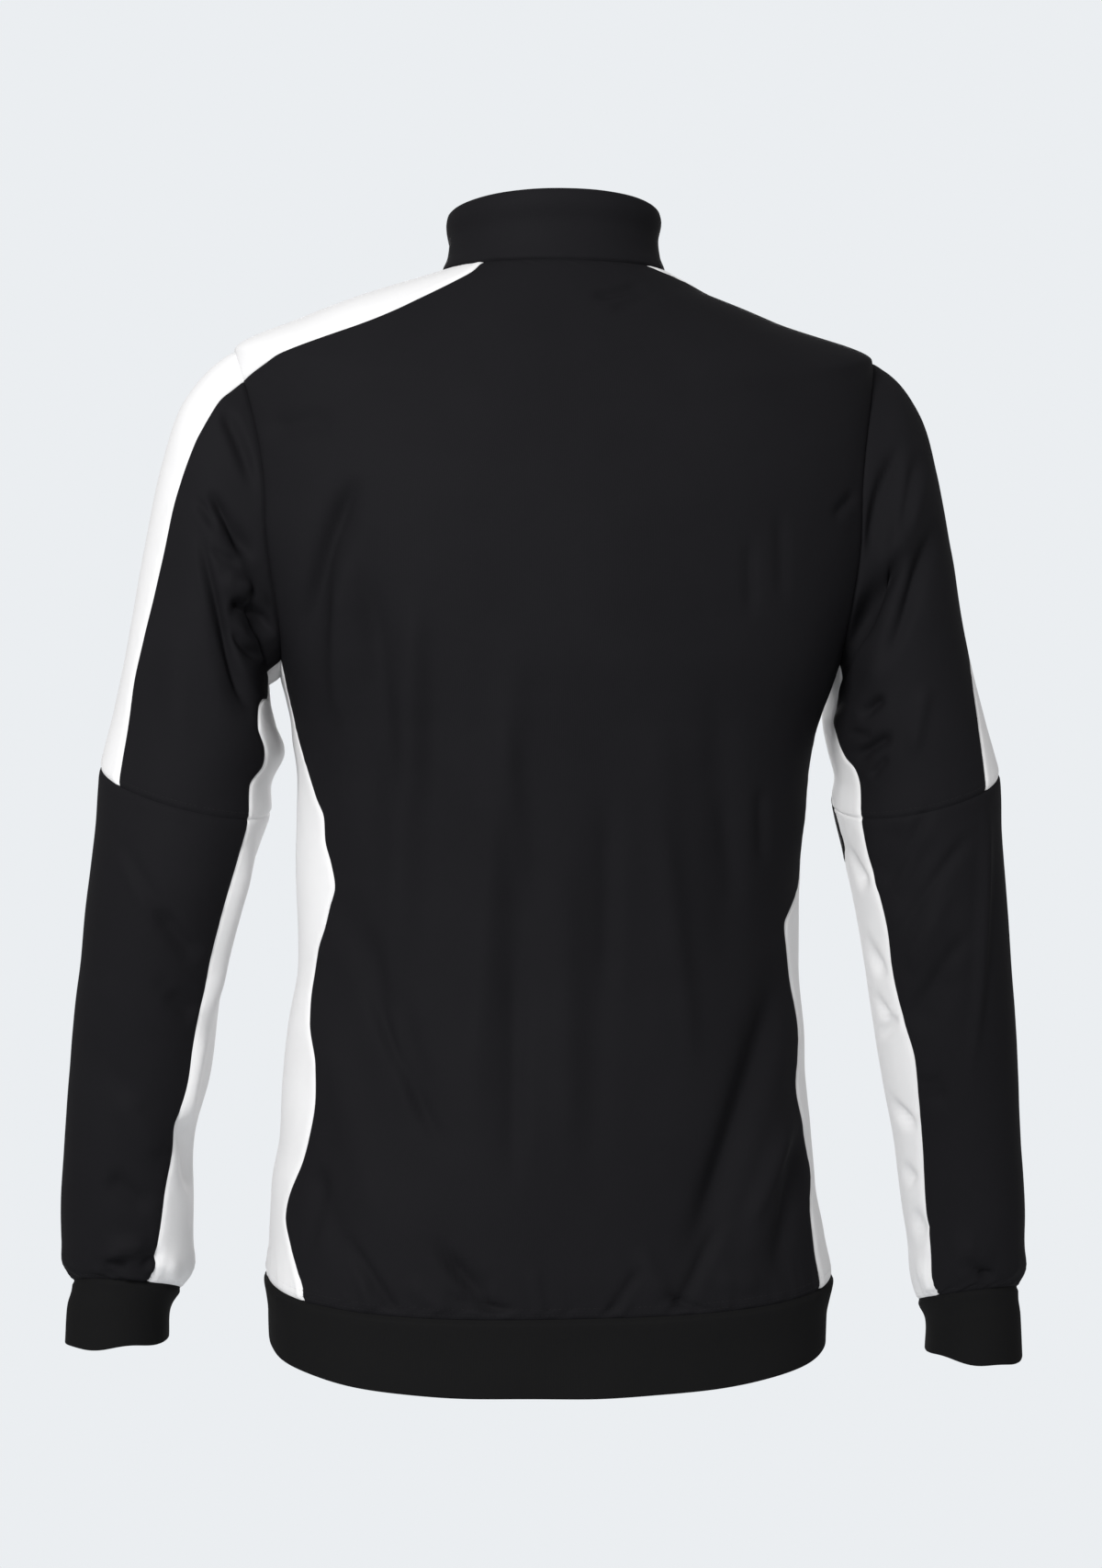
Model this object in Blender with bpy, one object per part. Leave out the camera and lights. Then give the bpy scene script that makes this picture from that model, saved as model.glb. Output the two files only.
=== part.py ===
"""Track jacket, filled out as when worn: full front zip, stand collar, banded hem and cuffs,
pale side panels, shoulder stripes, upper sleeve stripes and underarm strips.

Frame: +X the wearer's left, -Y the front, +Z up. The origin is the middle of the neck, at the
height where the neck seam meets the shoulder, because the wearer's shoulders carry the jacket.
Tables are in centimetres and degrees. Points leave surface functions in metres.
"""
import math

import bmesh
import bpy
import numpy as np

CM = 0.01
MM = 0.001

# Cloth
PANEL_WALL = 1.5 * MM
BAND_WALL = 3.0 * MM
BAND_PROUD = 1.5 * MM        # the doubled bands stand this far outside the panels
COLLAR_WALL = 3.0 * MM
SEAM_GAP = 0.32 * MM
ZIP_HALF_OPENING = 0.35      # cm, from the middle of the zip to the cloth edge
TAPE_REACH = 1.4             # cm, from the middle of the zip to the tape's far edge
TAPE_WALL = 0.9 * MM
# level on the torso, how deep the tape lies behind its face (cm)
TAPE_DEPTHS = [
    (-69.0, 0.185),
    (-1.4, 0.185),
    (-0.6, 0.36),
    (0.0, 0.52),
]
TAPE_UNDER_COLLAR = 3.5 * MM

# Levels on the torso, cm: the height of each cut round at the side seam
HEM_BOTTOM = -68.0
HEM_SEAM = -63.8
NECK_SEAM = 0.0

# level, half width, depth behind, depth in front, drop behind, drop in front, middle, squareness
TORSO_ROUNDS = [
    (-69.5, 17.7, 11.7, 11.3, -2.2, 0.2, -1.0, 2.6),
    (-66.3, 17.7, 11.7, 11.3, -1.5, 0.2, -1.0, 2.7),
    (-63.8, 18.0, 11.9, 11.5, -1.2, 0.2, -1.0, 2.7),
    (-61.5, 17.7, 12.1, 11.6, -0.9, 0.2, -1.0, 2.6),
    (-56.0, 17.3, 11.9, 11.5, -0.4, 0.1, -1.0, 2.4),
    (-50.0, 16.75, 11.3, 11.3, 0.0, 0.0, -1.0, 2.3),
    (-44.0, 16.1, 10.8, 11.2, 0.0, 0.0, -1.0, 2.3),
    (-38.0, 16.05, 11.0, 11.5, 0.0, 0.0, -1.0, 2.3),
    (-32.0, 16.5, 11.6, 12.1, 0.0, 0.0, -1.0, 2.3),
    (-29.4, 16.95, 11.9, 12.3, 0.0, 0.0, -1.0, 2.3),
    (-27.5, 17.4, 12.1, 12.4, 0.0, -0.1, -0.9, 2.3),
    (-24.4, 18.2, 12.4, 12.4, -0.1, -0.3, -0.8, 2.3),
    (-15.5, 20.6, 12.2, 11.9, -0.6, -2.0, -0.5, 2.3),
    (-5.2, 20.2, 10.6, 10.2, -2.9, -7.4, -0.2, 2.25),
    (-2.9, 15.6, 9.3, 9.2, -1.5, -7.1, 0.0, 2.2),
    (-1.5, 12.0, 8.3, 8.1, -0.7, -6.6, 0.1, 2.15),
    (0.0, 7.15, 6.9, 6.1, -0.1, -5.8, 0.3, 2.1),
]
TORSO_DROP_EASE = 1.7        # how soon a round drops from the side towards its middle

# level, how much further out the left side and the right side lie than the half width
TORSO_SIDES = [
    (-69.5, 0.0, -0.2),
    (-66.3, 0.15, -0.15),
    (-63.8, 0.1, 0.0),
    (-61.0, 0.25, -0.1),
    (-58.0, 0.35, -0.4),
    (-55.0, 0.05, -0.4),
    (-51.5, 0.2, -0.4),
    (-47.8, 0.25, -0.1),
    (-44.0, 0.0, 0.0),
    (-37.5, 0.2, 0.1),
    (-34.5, -0.05, 0.25),
    (-31.8, -0.35, 0.2),
    (-30.0, -0.4, 0.2),
    (-28.1, -0.6, 0.3),
    (-26.5, -0.6, 0.5),
    (-24.4, -0.5, 0.65),
    (-19.5, -0.1, 0.7),
    (-15.5, 0.0, 0.65),
    (-5.2, 0.0, 0.6),
    (-2.9, -0.05, -1.4),
    (-1.5, -0.1, -1.6),
    (-0.6, -0.15, -0.5),
    (0.0, -0.2, 0.2),
]
COLLAR_LEAN = -0.2

# level, where the side panel's back seam runs on the left and the right, degrees from the middle
SIDE_SEAM_BEHIND = [
    (-70.0, 60.0, 57.0),
    (-63.8, 55.5, 57.5),
    (-61.0, 63.5, 59.0),
    (-59.3, 68.0, 61.0),
    (-57.0, 64.5, 66.5),
    (-54.5, 61.5, 64.0),
    (-51.9, 59.5, 62.0),
    (-50.0, 60.0, 64.5),
    (-47.3, 66.0, 66.0),
    (-45.2, 68.5, 64.0),
    (-43.0, 66.0, 60.5),
    (-41.5, 62.0, 59.0),
    (-40.2, 59.5, 65.0),
    (-38.9, 57.0, 73.0),
    (-37.5, 58.5, 76.5),
    (-36.0, 61.5, 77.0),
    (-34.6, 62.5, 77.0),
    (-33.4, 67.0, 77.0),
    (-31.4, 74.0, 78.0),
    (-30.0, 77.0, 78.0),
    (-28.1, 81.5, 79.0),
    (-26.5, 81.0, 79.0),
    (-24.4, 77.0, 79.0),
]
SIDE_SEAM_IN_FRONT = [
    (-70.0, 113.0, 113.0),
    (-60.0, 111.0, 112.0),
    (-50.0, 114.0, 113.0),
    (-38.0, 113.0, 111.0),
    (-24.4, 103.0, 103.0),
]
SHOULDER_SEAM_BEHIND = [
    (-7.2, 73.0, 88.0),
    (-6.5, 67.0, 90.0),
    (-5.7, 61.3, 92.0),
    (-4.8, 56.5, 93.0),
    (-3.96, 52.2, 93.0),
    (-2.25, 42.5, 92.0),
    (-0.7, 38.5, 62.0),
    (0.0, 43.5, 46.0),
]
SHOULDER_SEAM_IN_FRONT = [
    (-6.1, 104.0, 110.0),
    (-2.9, 115.0, 124.0),
    (-1.5, 124.0, 134.0),
    (0.0, 138.0, 146.0),
]

# Armhole: an oval on the torso's own angle and level
ARMHOLE_MIDDLE = -15.5
ARMHOLE_HALF_HEIGHT = 10.3
ARMHOLE_HALF_ANGLE_BEHIND = 30.0
ARMHOLE_HALF_ANGLE_IN_FRONT = 29.0

# Sleeve cuts, left arm: place along it, outer x and z, inner x and z, half depth, middle y,
# drop behind, squareness. Place 0 is the armhole, 1 the elbow seam, 2 the cuff seam.
SLEEVE_CUTS = [
    (0.07, 21.6, -6.15, 18.0, -26.3, 6.5, -0.7, 0.0, 2.1),
    (0.16, 23.2, -8.1, 17.95, -26.7, 6.8, -0.8, 0.0, 2.1),
    (0.32, 24.7, -12.2, 17.85, -27.6, 7.0, -0.9, -0.2, 2.1),
    (0.52, 25.8, -17.4, 17.55, -28.8, 6.9, -0.9, -0.4, 2.1),
    (0.75, 26.95, -24.0, 17.05, -30.8, 6.5, -0.6, -0.7, 2.1),
    (0.88, 27.75, -27.9, 17.8, -32.4, 6.35, -0.35, -0.85, 2.1),
    (1.00, 28.6, -31.5, 17.9, -34.2, 6.2, 0.0, -1.3, 2.1),
    (1.13, 28.9, -35.2, 18.8, -36.9, 6.1, 0.2, -0.9, 2.1),
    (1.30, 29.5, -40.5, 20.05, -40.9, 5.7, 0.2, -0.6, 2.1),
    (1.40, 29.8, -43.7, 20.8, -43.8, 5.5, -0.1, -0.4, 2.1),
    (1.50, 30.2, -47.0, 21.2, -46.9, 5.4, -0.6, -0.3, 2.1),
    (1.63, 30.6, -51.3, 21.7, -51.1, 5.2, -1.5, -0.1, 2.1),
    (1.75, 30.9, -55.3, 22.65, -55.0, 5.1, -2.4, 0.0, 2.1),
    (1.88, 31.15, -59.9, 22.7, -59.5, 4.9, -3.5, 0.0, 2.1),
    (1.93, 31.1, -62.0, 22.7, -62.0, 4.85, -4.0, 0.3, 2.1),
    (1.96, 31.1, -63.2, 22.6, -63.6, 4.8, -4.3, 0.6, 2.1),
    (2.00, 30.4, -64.5, 23.5, -65.1, 4.2, -4.5, 0.9, 2.1),
    (2.06, 30.7, -66.1, 24.2, -66.3, 4.2, -4.8, 0.5, 2.1),
    (2.14, 30.85, -68.4, 24.35, -68.3, 4.3, -5.1, 0.0, 2.1),
]
# place along the right sleeve, how much further out its outer and inner lines run, extra drop
RIGHT_SLEEVE_SET = [
    (0.0, 0.8, 0.5, 0.0),
    (0.16, 0.6, 0.5, 0.0),
    (0.32, 0.4, 0.55, 0.0),
    (0.52, 0.35, 0.6, 0.0),
    (0.65, 0.3, 0.7, 0.0),
    (0.75, 0.3, 1.4, 0.0),
    (0.86, 0.45, 1.05, 0.0),
    (1.0, 0.55, 0.65, 0.0),
    (1.15, 0.35, 0.3, -0.1),
    (1.3, 0.2, 0.0, -0.3),
    (1.4, 0.2, -0.15, -0.4),
    (1.5, 0.2, 0.05, -0.5),
    (1.65, 0.35, 0.5, -0.8),
    (1.75, 0.4, 0.5, -0.9),
    (1.88, 0.75, 1.3, -1.1),
    (1.93, 0.9, 1.8, -1.2),
    (1.96, 1.1, 2.1, -1.45),
    (2.0, 1.3, 1.8, -1.65),
    (2.06, 1.2, 1.75, -1.9),
    (2.14, 1.25, 1.65, -2.2),
]
ELBOW = 1.0
WRIST = 2.0
CUFF_END = 2.14

# place along the sleeve, the seam's turn from the outer line on the left arm and the right arm
STRIPE_EDGE_BEHIND = [
    (0.0, 35.0, 3.0),
    (0.05, 41.0, 3.0),
    (0.12, 45.5, 3.0),
    (0.2, 46.0, 4.0),
    (0.3, 44.0, 4.0),
    (0.45, 42.5, 5.0),
    (0.6, 38.5, 6.0),
    (0.7, 34.0, 10.0),
    (0.78, 32.0, 30.0),
    (0.87, 35.5, 41.0),
    (1.0, 40.0, 50.0),
]
STRIPE_EDGE_IN_FRONT = [
    (0.0, -28.0, -36.0),
    (0.4, -26.0, -44.0),
    (1.0, -30.0, -26.0),
]
UNDERARM_EDGE_BEHIND = [
    (0.0, 155.0, 156.0),
    (0.1, 156.5, 161.0),
    (0.25, 157.0, 167.0),
    (0.34, 154.0, 168.5),
    (0.47, 140.0, 168.5),
    (0.58, 132.5, 165.0),
    (0.68, 128.5, 162.0),
    (0.75, 136.0, 158.0),
    (0.82, 141.0, 150.5),
    (0.9, 134.5, 148.0),
    (1.0, 135.5, 145.5),
    (1.14, 138.0, 147.0),
    (1.31, 139.0, 142.0),
    (1.4, 139.5, 143.5),
    (1.5, 135.0, 139.0),
    (1.58, 131.5, 133.5),
    (1.66, 131.0, 136.0),
    (1.76, 131.5, 140.5),
    (1.85, 124.0, 143.0),
    (1.9, 120.0, 144.5),
    (1.95, 114.5, 146.0),
    (2.0, 112.0, 144.0),
]
UNDERARM_EDGE_IN_FRONT = [
    (0.0, 205.0, 205.0),
    (0.5, 214.0, 213.0),
    (0.9, 216.0, 213.0),
    (0.98, 216.0, 196.0),
    (1.02, 216.0, 180.0),
    (1.1, 217.0, 178.0),
    (1.18, 218.0, 196.0),
    (1.28, 219.0, 217.0),
    (1.6, 222.0, 222.0),
    (2.0, 226.0, 222.0),
]

# Collar: share of its height, half width, depth behind, depth in front, middle, squareness
COLLAR_CUTS = [
    (0.0, 7.1, 6.9, 6.1, 0.3, 2.1),
    (0.25, 6.75, 6.6, 5.9, 0.35, 2.1),
    (0.5, 6.65, 6.5, 5.8, 0.4, 2.1),
    (0.8, 6.85, 6.75, 5.9, 0.45, 2.1),
    (0.93, 6.75, 6.7, 5.8, 0.45, 2.1),
    (1.0, 6.5, 6.45, 5.55, 0.45, 2.1),
]
COLLAR_TOP_SIDE = 3.9
COLLAR_TOP_BEHIND = 4.35
COLLAR_TOP_IN_FRONT = -0.4
COLLAR_TOP_EASE = 1.6        # how late the top edge turns down towards the front
COLLAR_LIFT = 0.12           # cm, the collar's edge above the neck seam

# Folds: three points of each line (x, z), half width, height (cm; below zero is a trough)
FOLDS_BEHIND = [
    (12.2, -12.6, 14.8, -17.0, 15.7, -26.5, 1.3, -0.62),
    (13.4, -16.0, 13.2, -21.0, 13.0, -29.0, 1.2, 0.28),
    (11.0, -18.0, 11.4, -27.0, 11.8, -38.0, 1.3, -0.30),
    (8.8, -18.5, 9.5, -32.0, 10.2, -47.0, 1.2, 0.30),
    (7.2, -21.0, 7.4, -33.0, 7.8, -48.0, 1.4, -0.26),
    (2.0, -22.0, 4.0, -36.0, 5.6, -60.0, 1.4, 0.38),
    (1.6, -34.0, 2.2, -46.0, 2.9, -61.0, 1.4, -0.26),
    (-0.6, -36.0, -1.0, -46.0, -1.2, -60.0, 1.3, 0.20),
    (-3.4, -28.0, -3.4, -42.0, -2.4, -61.0, 1.4, -0.22),
    (-6.8, -26.0, -7.2, -38.0, -7.6, -52.0, 1.5, 0.20),
    (-10.6, -24.0, -11.0, -34.0, -11.4, -47.0, 1.3, -0.22),
    (14.0, -39.0, 10.2, -46.0, 6.9, -56.5, 1.3, -0.40),
    (15.2, -47.0, 13.0, -54.0, 9.8, -64.0, 1.5, 0.36),
    (15.8, -56.0, 14.2, -60.0, 12.6, -64.2, 1.0, -0.30),
    (-14.8, -43.5, -13.2, -52.0, -8.4, -65.0, 1.3, -0.58),
    (-15.6, -52.5, -14.6, -58.0, -12.0, -64.5, 1.1, 0.34),
    (6.8, -62.6, 5.2, -64.6, 3.6, -65.2, 0.9, -0.36),
    (-5.6, -62.0, -6.6, -64.5, -7.4, -65.6, 0.8, 0.26),
    (18.6, -9.6, 16.0, -10.0, 13.6, -9.2, 1.0, -0.16),
]
FOLDS_IN_FRONT = [
    (12.4, -14.0, 14.4, -20.0, 15.4, -28.0, 1.3, -0.50),
    (9.6, -20.0, 10.2, -32.0, 10.6, -46.0, 1.4, 0.30),
    (6.0, -24.0, 6.6, -38.0, 6.6, -54.0, 1.4, -0.26),
    (3.2, -30.0, 3.0, -44.0, 3.2, -60.0, 1.3, 0.22),
    (-3.0, -26.0, -3.4, -42.0, -3.0, -60.0, 1.4, 0.22),
    (-6.4, -22.0, -6.8, -36.0, -6.2, -52.0, 1.4, -0.26),
    (-10.2, -22.0, -10.6, -34.0, -11.0, -48.0, 1.3, 0.28),
    (-12.6, -15.0, -14.2, -20.0, -15.0, -27.0, 1.3, -0.44),
    (14.6, -44.0, 12.2, -53.0, 8.4, -63.6, 1.3, -0.44),
    (-14.6, -42.0, -12.0, -52.0, -8.8, -63.6, 1.3, -0.46),
    (-15.0, -54.0, -13.6, -59.0, -11.6, -63.4, 1.1, 0.30),
    (15.2, -55.0, 13.8, -59.0, 12.0, -63.4, 1.1, 0.28),
]
SLEEVE_FOLDS_BEHIND = [
    (22.2, -13.6, 20.4, -15.8, 19.2, -18.6, 0.9, -0.42),
    (20.8, -21.0, 19.3, -21.4, 17.9, -23.4, 0.9, -0.50),
    (20.9, -21.6, 19.8, -23.8, 18.4, -24.8, 0.8, -0.34),
    (21.2, -19.2, 20.2, -20.2, 19.0, -20.2, 0.9, 0.30),
    (21.6, -19.0, 21.0, -24.5, 19.0, -29.2, 1.0, -0.40),
    (24.6, -22.0, 24.0, -26.0, 23.6, -31.0, 1.2, 0.18),
    (25.4, -40.4, 24.0, -42.8, 22.2, -43.8, 1.0, -0.36),
    (24.6, -45.8, 23.6, -47.0, 22.6, -47.4, 0.9, -0.24),
    (27.6, -51.8, 26.0, -54.6, 24.8, -56.6, 1.1, 0.30),
    (28.6, -57.6, 27.2, -58.8, 25.4, -59.8, 1.0, -0.34),
    (28.8, -62.6, 27.4, -61.8, 25.6, -62.4, 0.8, 0.32),
    (-22.8, -17.8, -20.6, -20.4, -19.0, -24.2, 1.1, -0.72),
    (-24.6, -15.6, -23.2, -21.0, -20.8, -25.6, 1.2, -0.38),
    (-23.2, -20.6, -21.4, -24.2, -20.2, -27.0, 1.1, 0.34),
    (-22.6, -10.6, -21.2, -14.6, -20.2, -18.6, 1.2, -0.34),
    (-24.0, -12.0, -22.8, -16.4, -21.6, -18.4, 0.9, 0.26),
    (-22.0, -29.4, -20.4, -30.2, -19.2, -31.4, 0.7, -0.26),
    (-21.4, -27.0, -20.4, -27.8, -19.6, -28.2, 0.7, -0.24),
    (-22.4, -34.8, -21.6, -37.0, -20.6, -39.2, 1.0, -0.30),
    (-24.6, -35.4, -23.4, -38.6, -21.8, -41.4, 1.1, -0.34),
    (-25.4, -40.4, -24.0, -43.0, -22.8, -44.6, 0.9, 0.26),
    (-25.8, -44.2, -24.6, -46.8, -23.0, -48.4, 1.0, -0.34),
    (-25.6, -52.4, -24.6, -52.6, -23.6, -52.4, 0.8, -0.24),
    (-27.4, -62.6, -26.4, -61.6, -25.2, -62.2, 0.8, 0.30),
]
SLEEVE_FOLDS_IN_FRONT = [
    (22.6, -14.0, 21.0, -17.4, 19.6, -22.4, 1.1, -0.50),
    (24.4, -16.4, 23.0, -21.6, 21.0, -26.6, 1.2, 0.30),
    (24.6, -27.2, 22.4, -28.6, 20.0, -29.6, 1.0, -0.42),
    (25.6, -32.2, 23.2, -33.6, 20.4, -33.2, 1.0, -0.46),
    (25.4, -35.0, 23.4, -36.8, 21.4, -36.8, 1.0, 0.30),
    (27.0, -45.0, 25.6, -47.6, 23.8, -49.4, 1.1, -0.30),
    (28.6, -57.8, 27.2, -58.8, 25.4, -58.8, 0.9, -0.30),
    (-22.6, -13.6, -21.0, -17.0, -19.8, -21.6, 1.1, -0.46),
    (-24.6, -17.0, -23.0, -22.0, -21.2, -26.2, 1.2, 0.30),
    (-24.8, -28.0, -22.6, -29.0, -20.2, -29.0, 1.0, -0.40),
    (-25.6, -32.6, -23.4, -33.8, -20.6, -34.0, 1.0, -0.46),
    (-27.0, -43.6, -25.4, -46.6, -23.4, -48.0, 1.1, -0.32),
    (-28.4, -58.4, -27.0, -59.2, -25.2, -58.8, 0.9, -0.30),
]
FOLD_STEPS = 9               # straight steps that a fold's line is read by
FOLD_FLANK = 0.55            # how far the cloth turns back beside a fold
FOLD_FACING = 0.45           # share of the cloth's facing at which a fold is whole
# The folds behind are laid out as someone standing there sees them
VIEW_TURN = 7.0              # degrees, how far round to the wearer's left
VIEW_DISTANCE = 200.0        # cm
VIEW_LEVEL = -32.56          # cm, the height of the eye

# Zip
SLIDER_WIDTH = 8.6 * MM
SLIDER_HEIGHT = 12.0 * MM
SLIDER_PLATE = 1.6 * MM
SLIDER_CORE_WIDTH = 6.2 * MM
SLIDER_BELOW_TOP = 10.0 * MM
SLIDER_CLEARANCE = 0.7 * MM   # to the curved cloth in front of it and the tape behind
ARCH_WIDTH = 1.6 * MM
ARCH_HEIGHT = 8.4 * MM
ARCH_REACH = 4.4 * MM
ARCH_BAR = 1.5 * MM
TAB_WIDTH = 6.4 * MM
TAB_LENGTH = 22.0 * MM
TAB_THICK = 1.4 * MM
TAB_EYE_WIDTH = 2.6 * MM
TAB_EYE_LENGTH = 5.0 * MM
TAB_BAR = 1.3 * MM

BLACK_KNIT = ("black knit", (0.012, 0.012, 0.0135, 1.0), 0.72, 0.0)
BLACK_BAND = ("black band knit", (0.0105, 0.0105, 0.0115, 1.0), 0.78, 0.0)
WHITE_KNIT = ("white knit", (0.80, 0.81, 0.82, 1.0), 0.70, 0.0)
BLACK_TAPE = ("black tape", (0.010, 0.010, 0.011, 1.0), 0.85, 0.0)
DARK_METAL = ("dark metal", (0.06, 0.06, 0.065, 1.0), 0.35, 1.0)


def smooth_rows(table, at):
    """Each column of a table at the given places, on one smooth line without overshoot."""
    rows = np.array(table, dtype=float)
    place, values = rows[:, 0], rows[:, 1:]
    step = np.diff(place)[:, None]
    slope = np.diff(values, axis=0) / step
    before, after = slope[:-1], slope[1:]
    same_way = before * after > 0
    mean = np.where(same_way, 2 * before * after / np.where(same_way, before + after, 1.0), 0.0)
    tangent = np.vstack([slope[:1], mean, slope[-1:]])
    at = np.clip(np.asarray(at, dtype=float), place[0], place[-1])
    low = np.clip(np.searchsorted(place, at, side="right") - 1, 0, len(place) - 2)
    width = (place[low + 1] - place[low])
    t = ((at - place[low]) / width)[..., None]
    width = width[..., None]
    result = ((1 + 2 * t) * (1 - t) ** 2 * values[low] + t * (1 - t) ** 2 * width * tangent[low]
              + t * t * (3 - 2 * t) * values[low + 1] - t * t * (1 - t) * width * tangent[low + 1])
    return np.moveaxis(result, -1, 0)


def smooth_step(low, high, value):
    t = np.clip((value - low) / (high - low), 0.0, 1.0)
    return t * t * (3 - 2 * t)


def oval(angle, squareness):
    """Across and along shares of a rounded oval at an angle from its back."""
    turn = np.radians(angle)
    across, along = np.sin(turn), np.cos(turn)
    size = (np.abs(across) ** squareness + np.abs(along) ** squareness) ** (-1 / squareness)
    return across * size, along * size


def torso_form(angle, level):
    """The smooth torso. Angle 0 is the middle of the back, +90 the wearer's left side."""
    angle, level = np.broadcast_arrays(np.asarray(angle, float), np.asarray(level, float))
    width, behind, front, drop_b, drop_f, middle, square = smooth_rows(TORSO_ROUNDS, level)
    across, along = oval(angle, square)
    depth = np.where(along > 0, behind, front)
    drop = np.where(along > 0, drop_b, drop_f)
    left, right = smooth_rows(TORSO_SIDES, level)
    width = width + np.where(across > 0, left, right)
    height = level + drop * np.abs(along) ** TORSO_DROP_EASE
    return np.stack([width * across, middle + depth * along, height], -1) * CM


def armhole(turn):
    """Angle and level on the torso; turn 0 is the shoulder, 90 behind, 180 the underarm."""
    turn = np.radians(turn)
    reach = np.where(np.sin(turn) > 0, ARMHOLE_HALF_ANGLE_BEHIND, ARMHOLE_HALF_ANGLE_IN_FRONT)
    return 90.0 - reach * np.sin(turn), ARMHOLE_MIDDLE + ARMHOLE_HALF_HEIGHT * np.cos(turn)


def sleeve_form(turn, place, side):
    """The smooth sleeve of one side. Turn 0 is its outer line, 90 behind, 180 underneath."""
    turn, place = np.broadcast_arrays(np.asarray(turn, float), np.asarray(place, float))
    knots = np.array([0.0] + [row[0] for row in SLEEVE_CUTS])
    angle, level = armhole(turn)
    cuts = [torso_form(angle * side, level) * np.array([side, 1.0, 1.0])]
    for at, outer_x, outer_z, inner_x, inner_z, depth, middle, drop, square in SLEEVE_CUTS:
        behind, outward = oval(turn, square)
        if side < 0:
            out, inn, lower = smooth_rows(RIGHT_SLEEVE_SET, at)
            outer_x, inner_x = outer_x + out, inner_x + inn
            outer_z, inner_z = outer_z + lower, inner_z + lower
        cuts.append(np.stack([
            (outer_x + inner_x) / 2 + (outer_x - inner_x) / 2 * outward,
            middle + depth * behind,
            (outer_z + inner_z) / 2 + (outer_z - inner_z) / 2 * outward + drop * behind], -1) * CM)
    cuts = np.array(cuts)
    span = np.diff(knots)
    slope = np.diff(cuts, axis=0) / span.reshape(-1, *[1] * (cuts.ndim - 1))
    tangent = np.empty_like(cuts)
    tangent[0], tangent[-1] = slope[0], slope[-1]
    for knot in range(1, len(knots) - 1):
        share = span[knot - 1] / (span[knot - 1] + span[knot])
        tangent[knot] = slope[knot - 1] * (1 - share) + slope[knot] * share
    low = np.clip(np.searchsorted(knots, place, side="right") - 1, 0, len(knots) - 2)
    width = span[low]
    t = (place - knots[low]) / width
    pick = np.indices(low.shape)
    take = lambda values, row: values[(row, *pick)]
    t, width = t[..., None], width[..., None]
    return ((1 + 2 * t) * (1 - t) ** 2 * take(cuts, low)
            + t * (1 - t) ** 2 * width * take(tangent, low)
            + t * t * (3 - 2 * t) * take(cuts, low + 1)
            - t * t * (1 - t) * width * take(tangent, low + 1))


def collar_form(angle, height):
    """The smooth stand collar; height 0 is its seam and 1 its folded top."""
    angle, height = np.broadcast_arrays(np.asarray(angle, float), np.asarray(height, float))
    width, behind, front, middle, square = smooth_rows(COLLAR_CUTS, height)
    across, along = oval(angle, square)
    depth = np.where(along > 0, behind, front)
    neck = torso_form(angle, np.full(angle.shape, NECK_SEAM))[..., 2] / CM + COLLAR_LIFT
    rise = np.where(along > 0, COLLAR_TOP_BEHIND - COLLAR_TOP_SIDE,
                    COLLAR_TOP_IN_FRONT - COLLAR_TOP_SIDE)
    top = COLLAR_TOP_SIDE + rise * np.abs(along) ** COLLAR_TOP_EASE
    lean = COLLAR_LEAN * smooth_step(-1.0, 1.0, along)
    return np.stack([lean + width * across, middle + depth * along,
                     neck + (top - neck) * height], -1) * CM


def fold_depth(points, folds):
    """How far the cloth stands out (or in) at points seen from behind, in metres."""
    x, z = points[..., 0] / CM, points[..., 2] / CM
    total = np.zeros(x.shape)
    for x0, z0, x1, z1, x2, z2, width, height in folds:
        share = np.linspace(0.0, 1.0, FOLD_STEPS)
        bend_x = (1 - share) ** 2 * x0 + 2 * share * (1 - share) * x1 + share ** 2 * x2
        bend_z = (1 - share) ** 2 * z0 + 2 * share * (1 - share) * z1 + share ** 2 * z2
        nearest = np.full(x.shape, 1e9)
        along = np.zeros(x.shape)
        for step in range(FOLD_STEPS - 1):
            dx, dz = bend_x[step + 1] - bend_x[step], bend_z[step + 1] - bend_z[step]
            t = np.clip(((x - bend_x[step]) * dx + (z - bend_z[step]) * dz)
                        / (dx * dx + dz * dz), 0.0, 1.0)
            gap = np.hypot(x - bend_x[step] - t * dx, z - bend_z[step] - t * dz)
            closer = gap < nearest
            nearest = np.where(closer, gap, nearest)
            along = np.where(closer, (step + t) / (FOLD_STEPS - 1), along)
        reach = (nearest / width) ** 2
        profile = (1 - FOLD_FLANK * reach) * np.exp(-reach)
        total += height * profile * smooth_step(0.0, 0.3, along) * smooth_step(0.0, 0.3, 1 - along)
    return total * CM


def seen_from_behind(points):
    """The places at which points appear to someone behind, in metres on the view's own plane."""
    x, y, z = np.moveaxis(points / CM, -1, 0)
    turn = math.radians(VIEW_TURN)
    sideways = x * math.cos(turn) - y * math.sin(turn)
    nearer = x * math.sin(turn) + y * math.cos(turn)
    size = VIEW_DISTANCE / (VIEW_DISTANCE - nearer)
    return np.stack([sideways * size, y, VIEW_LEVEL + (z - VIEW_LEVEL) * size], -1) * CM


def outward(form, u, v, step_u, step_v, side=1.0):
    """Unit normals of a surface function, pointing away from the body."""
    along_u = form(u + step_u, v) - form(u - step_u, v)
    along_v = form(u, v + step_v) - form(u, v - step_v)
    normal = np.cross(along_v, along_u) * side
    return normal / np.linalg.norm(normal, axis=-1, keepdims=True)


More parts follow.
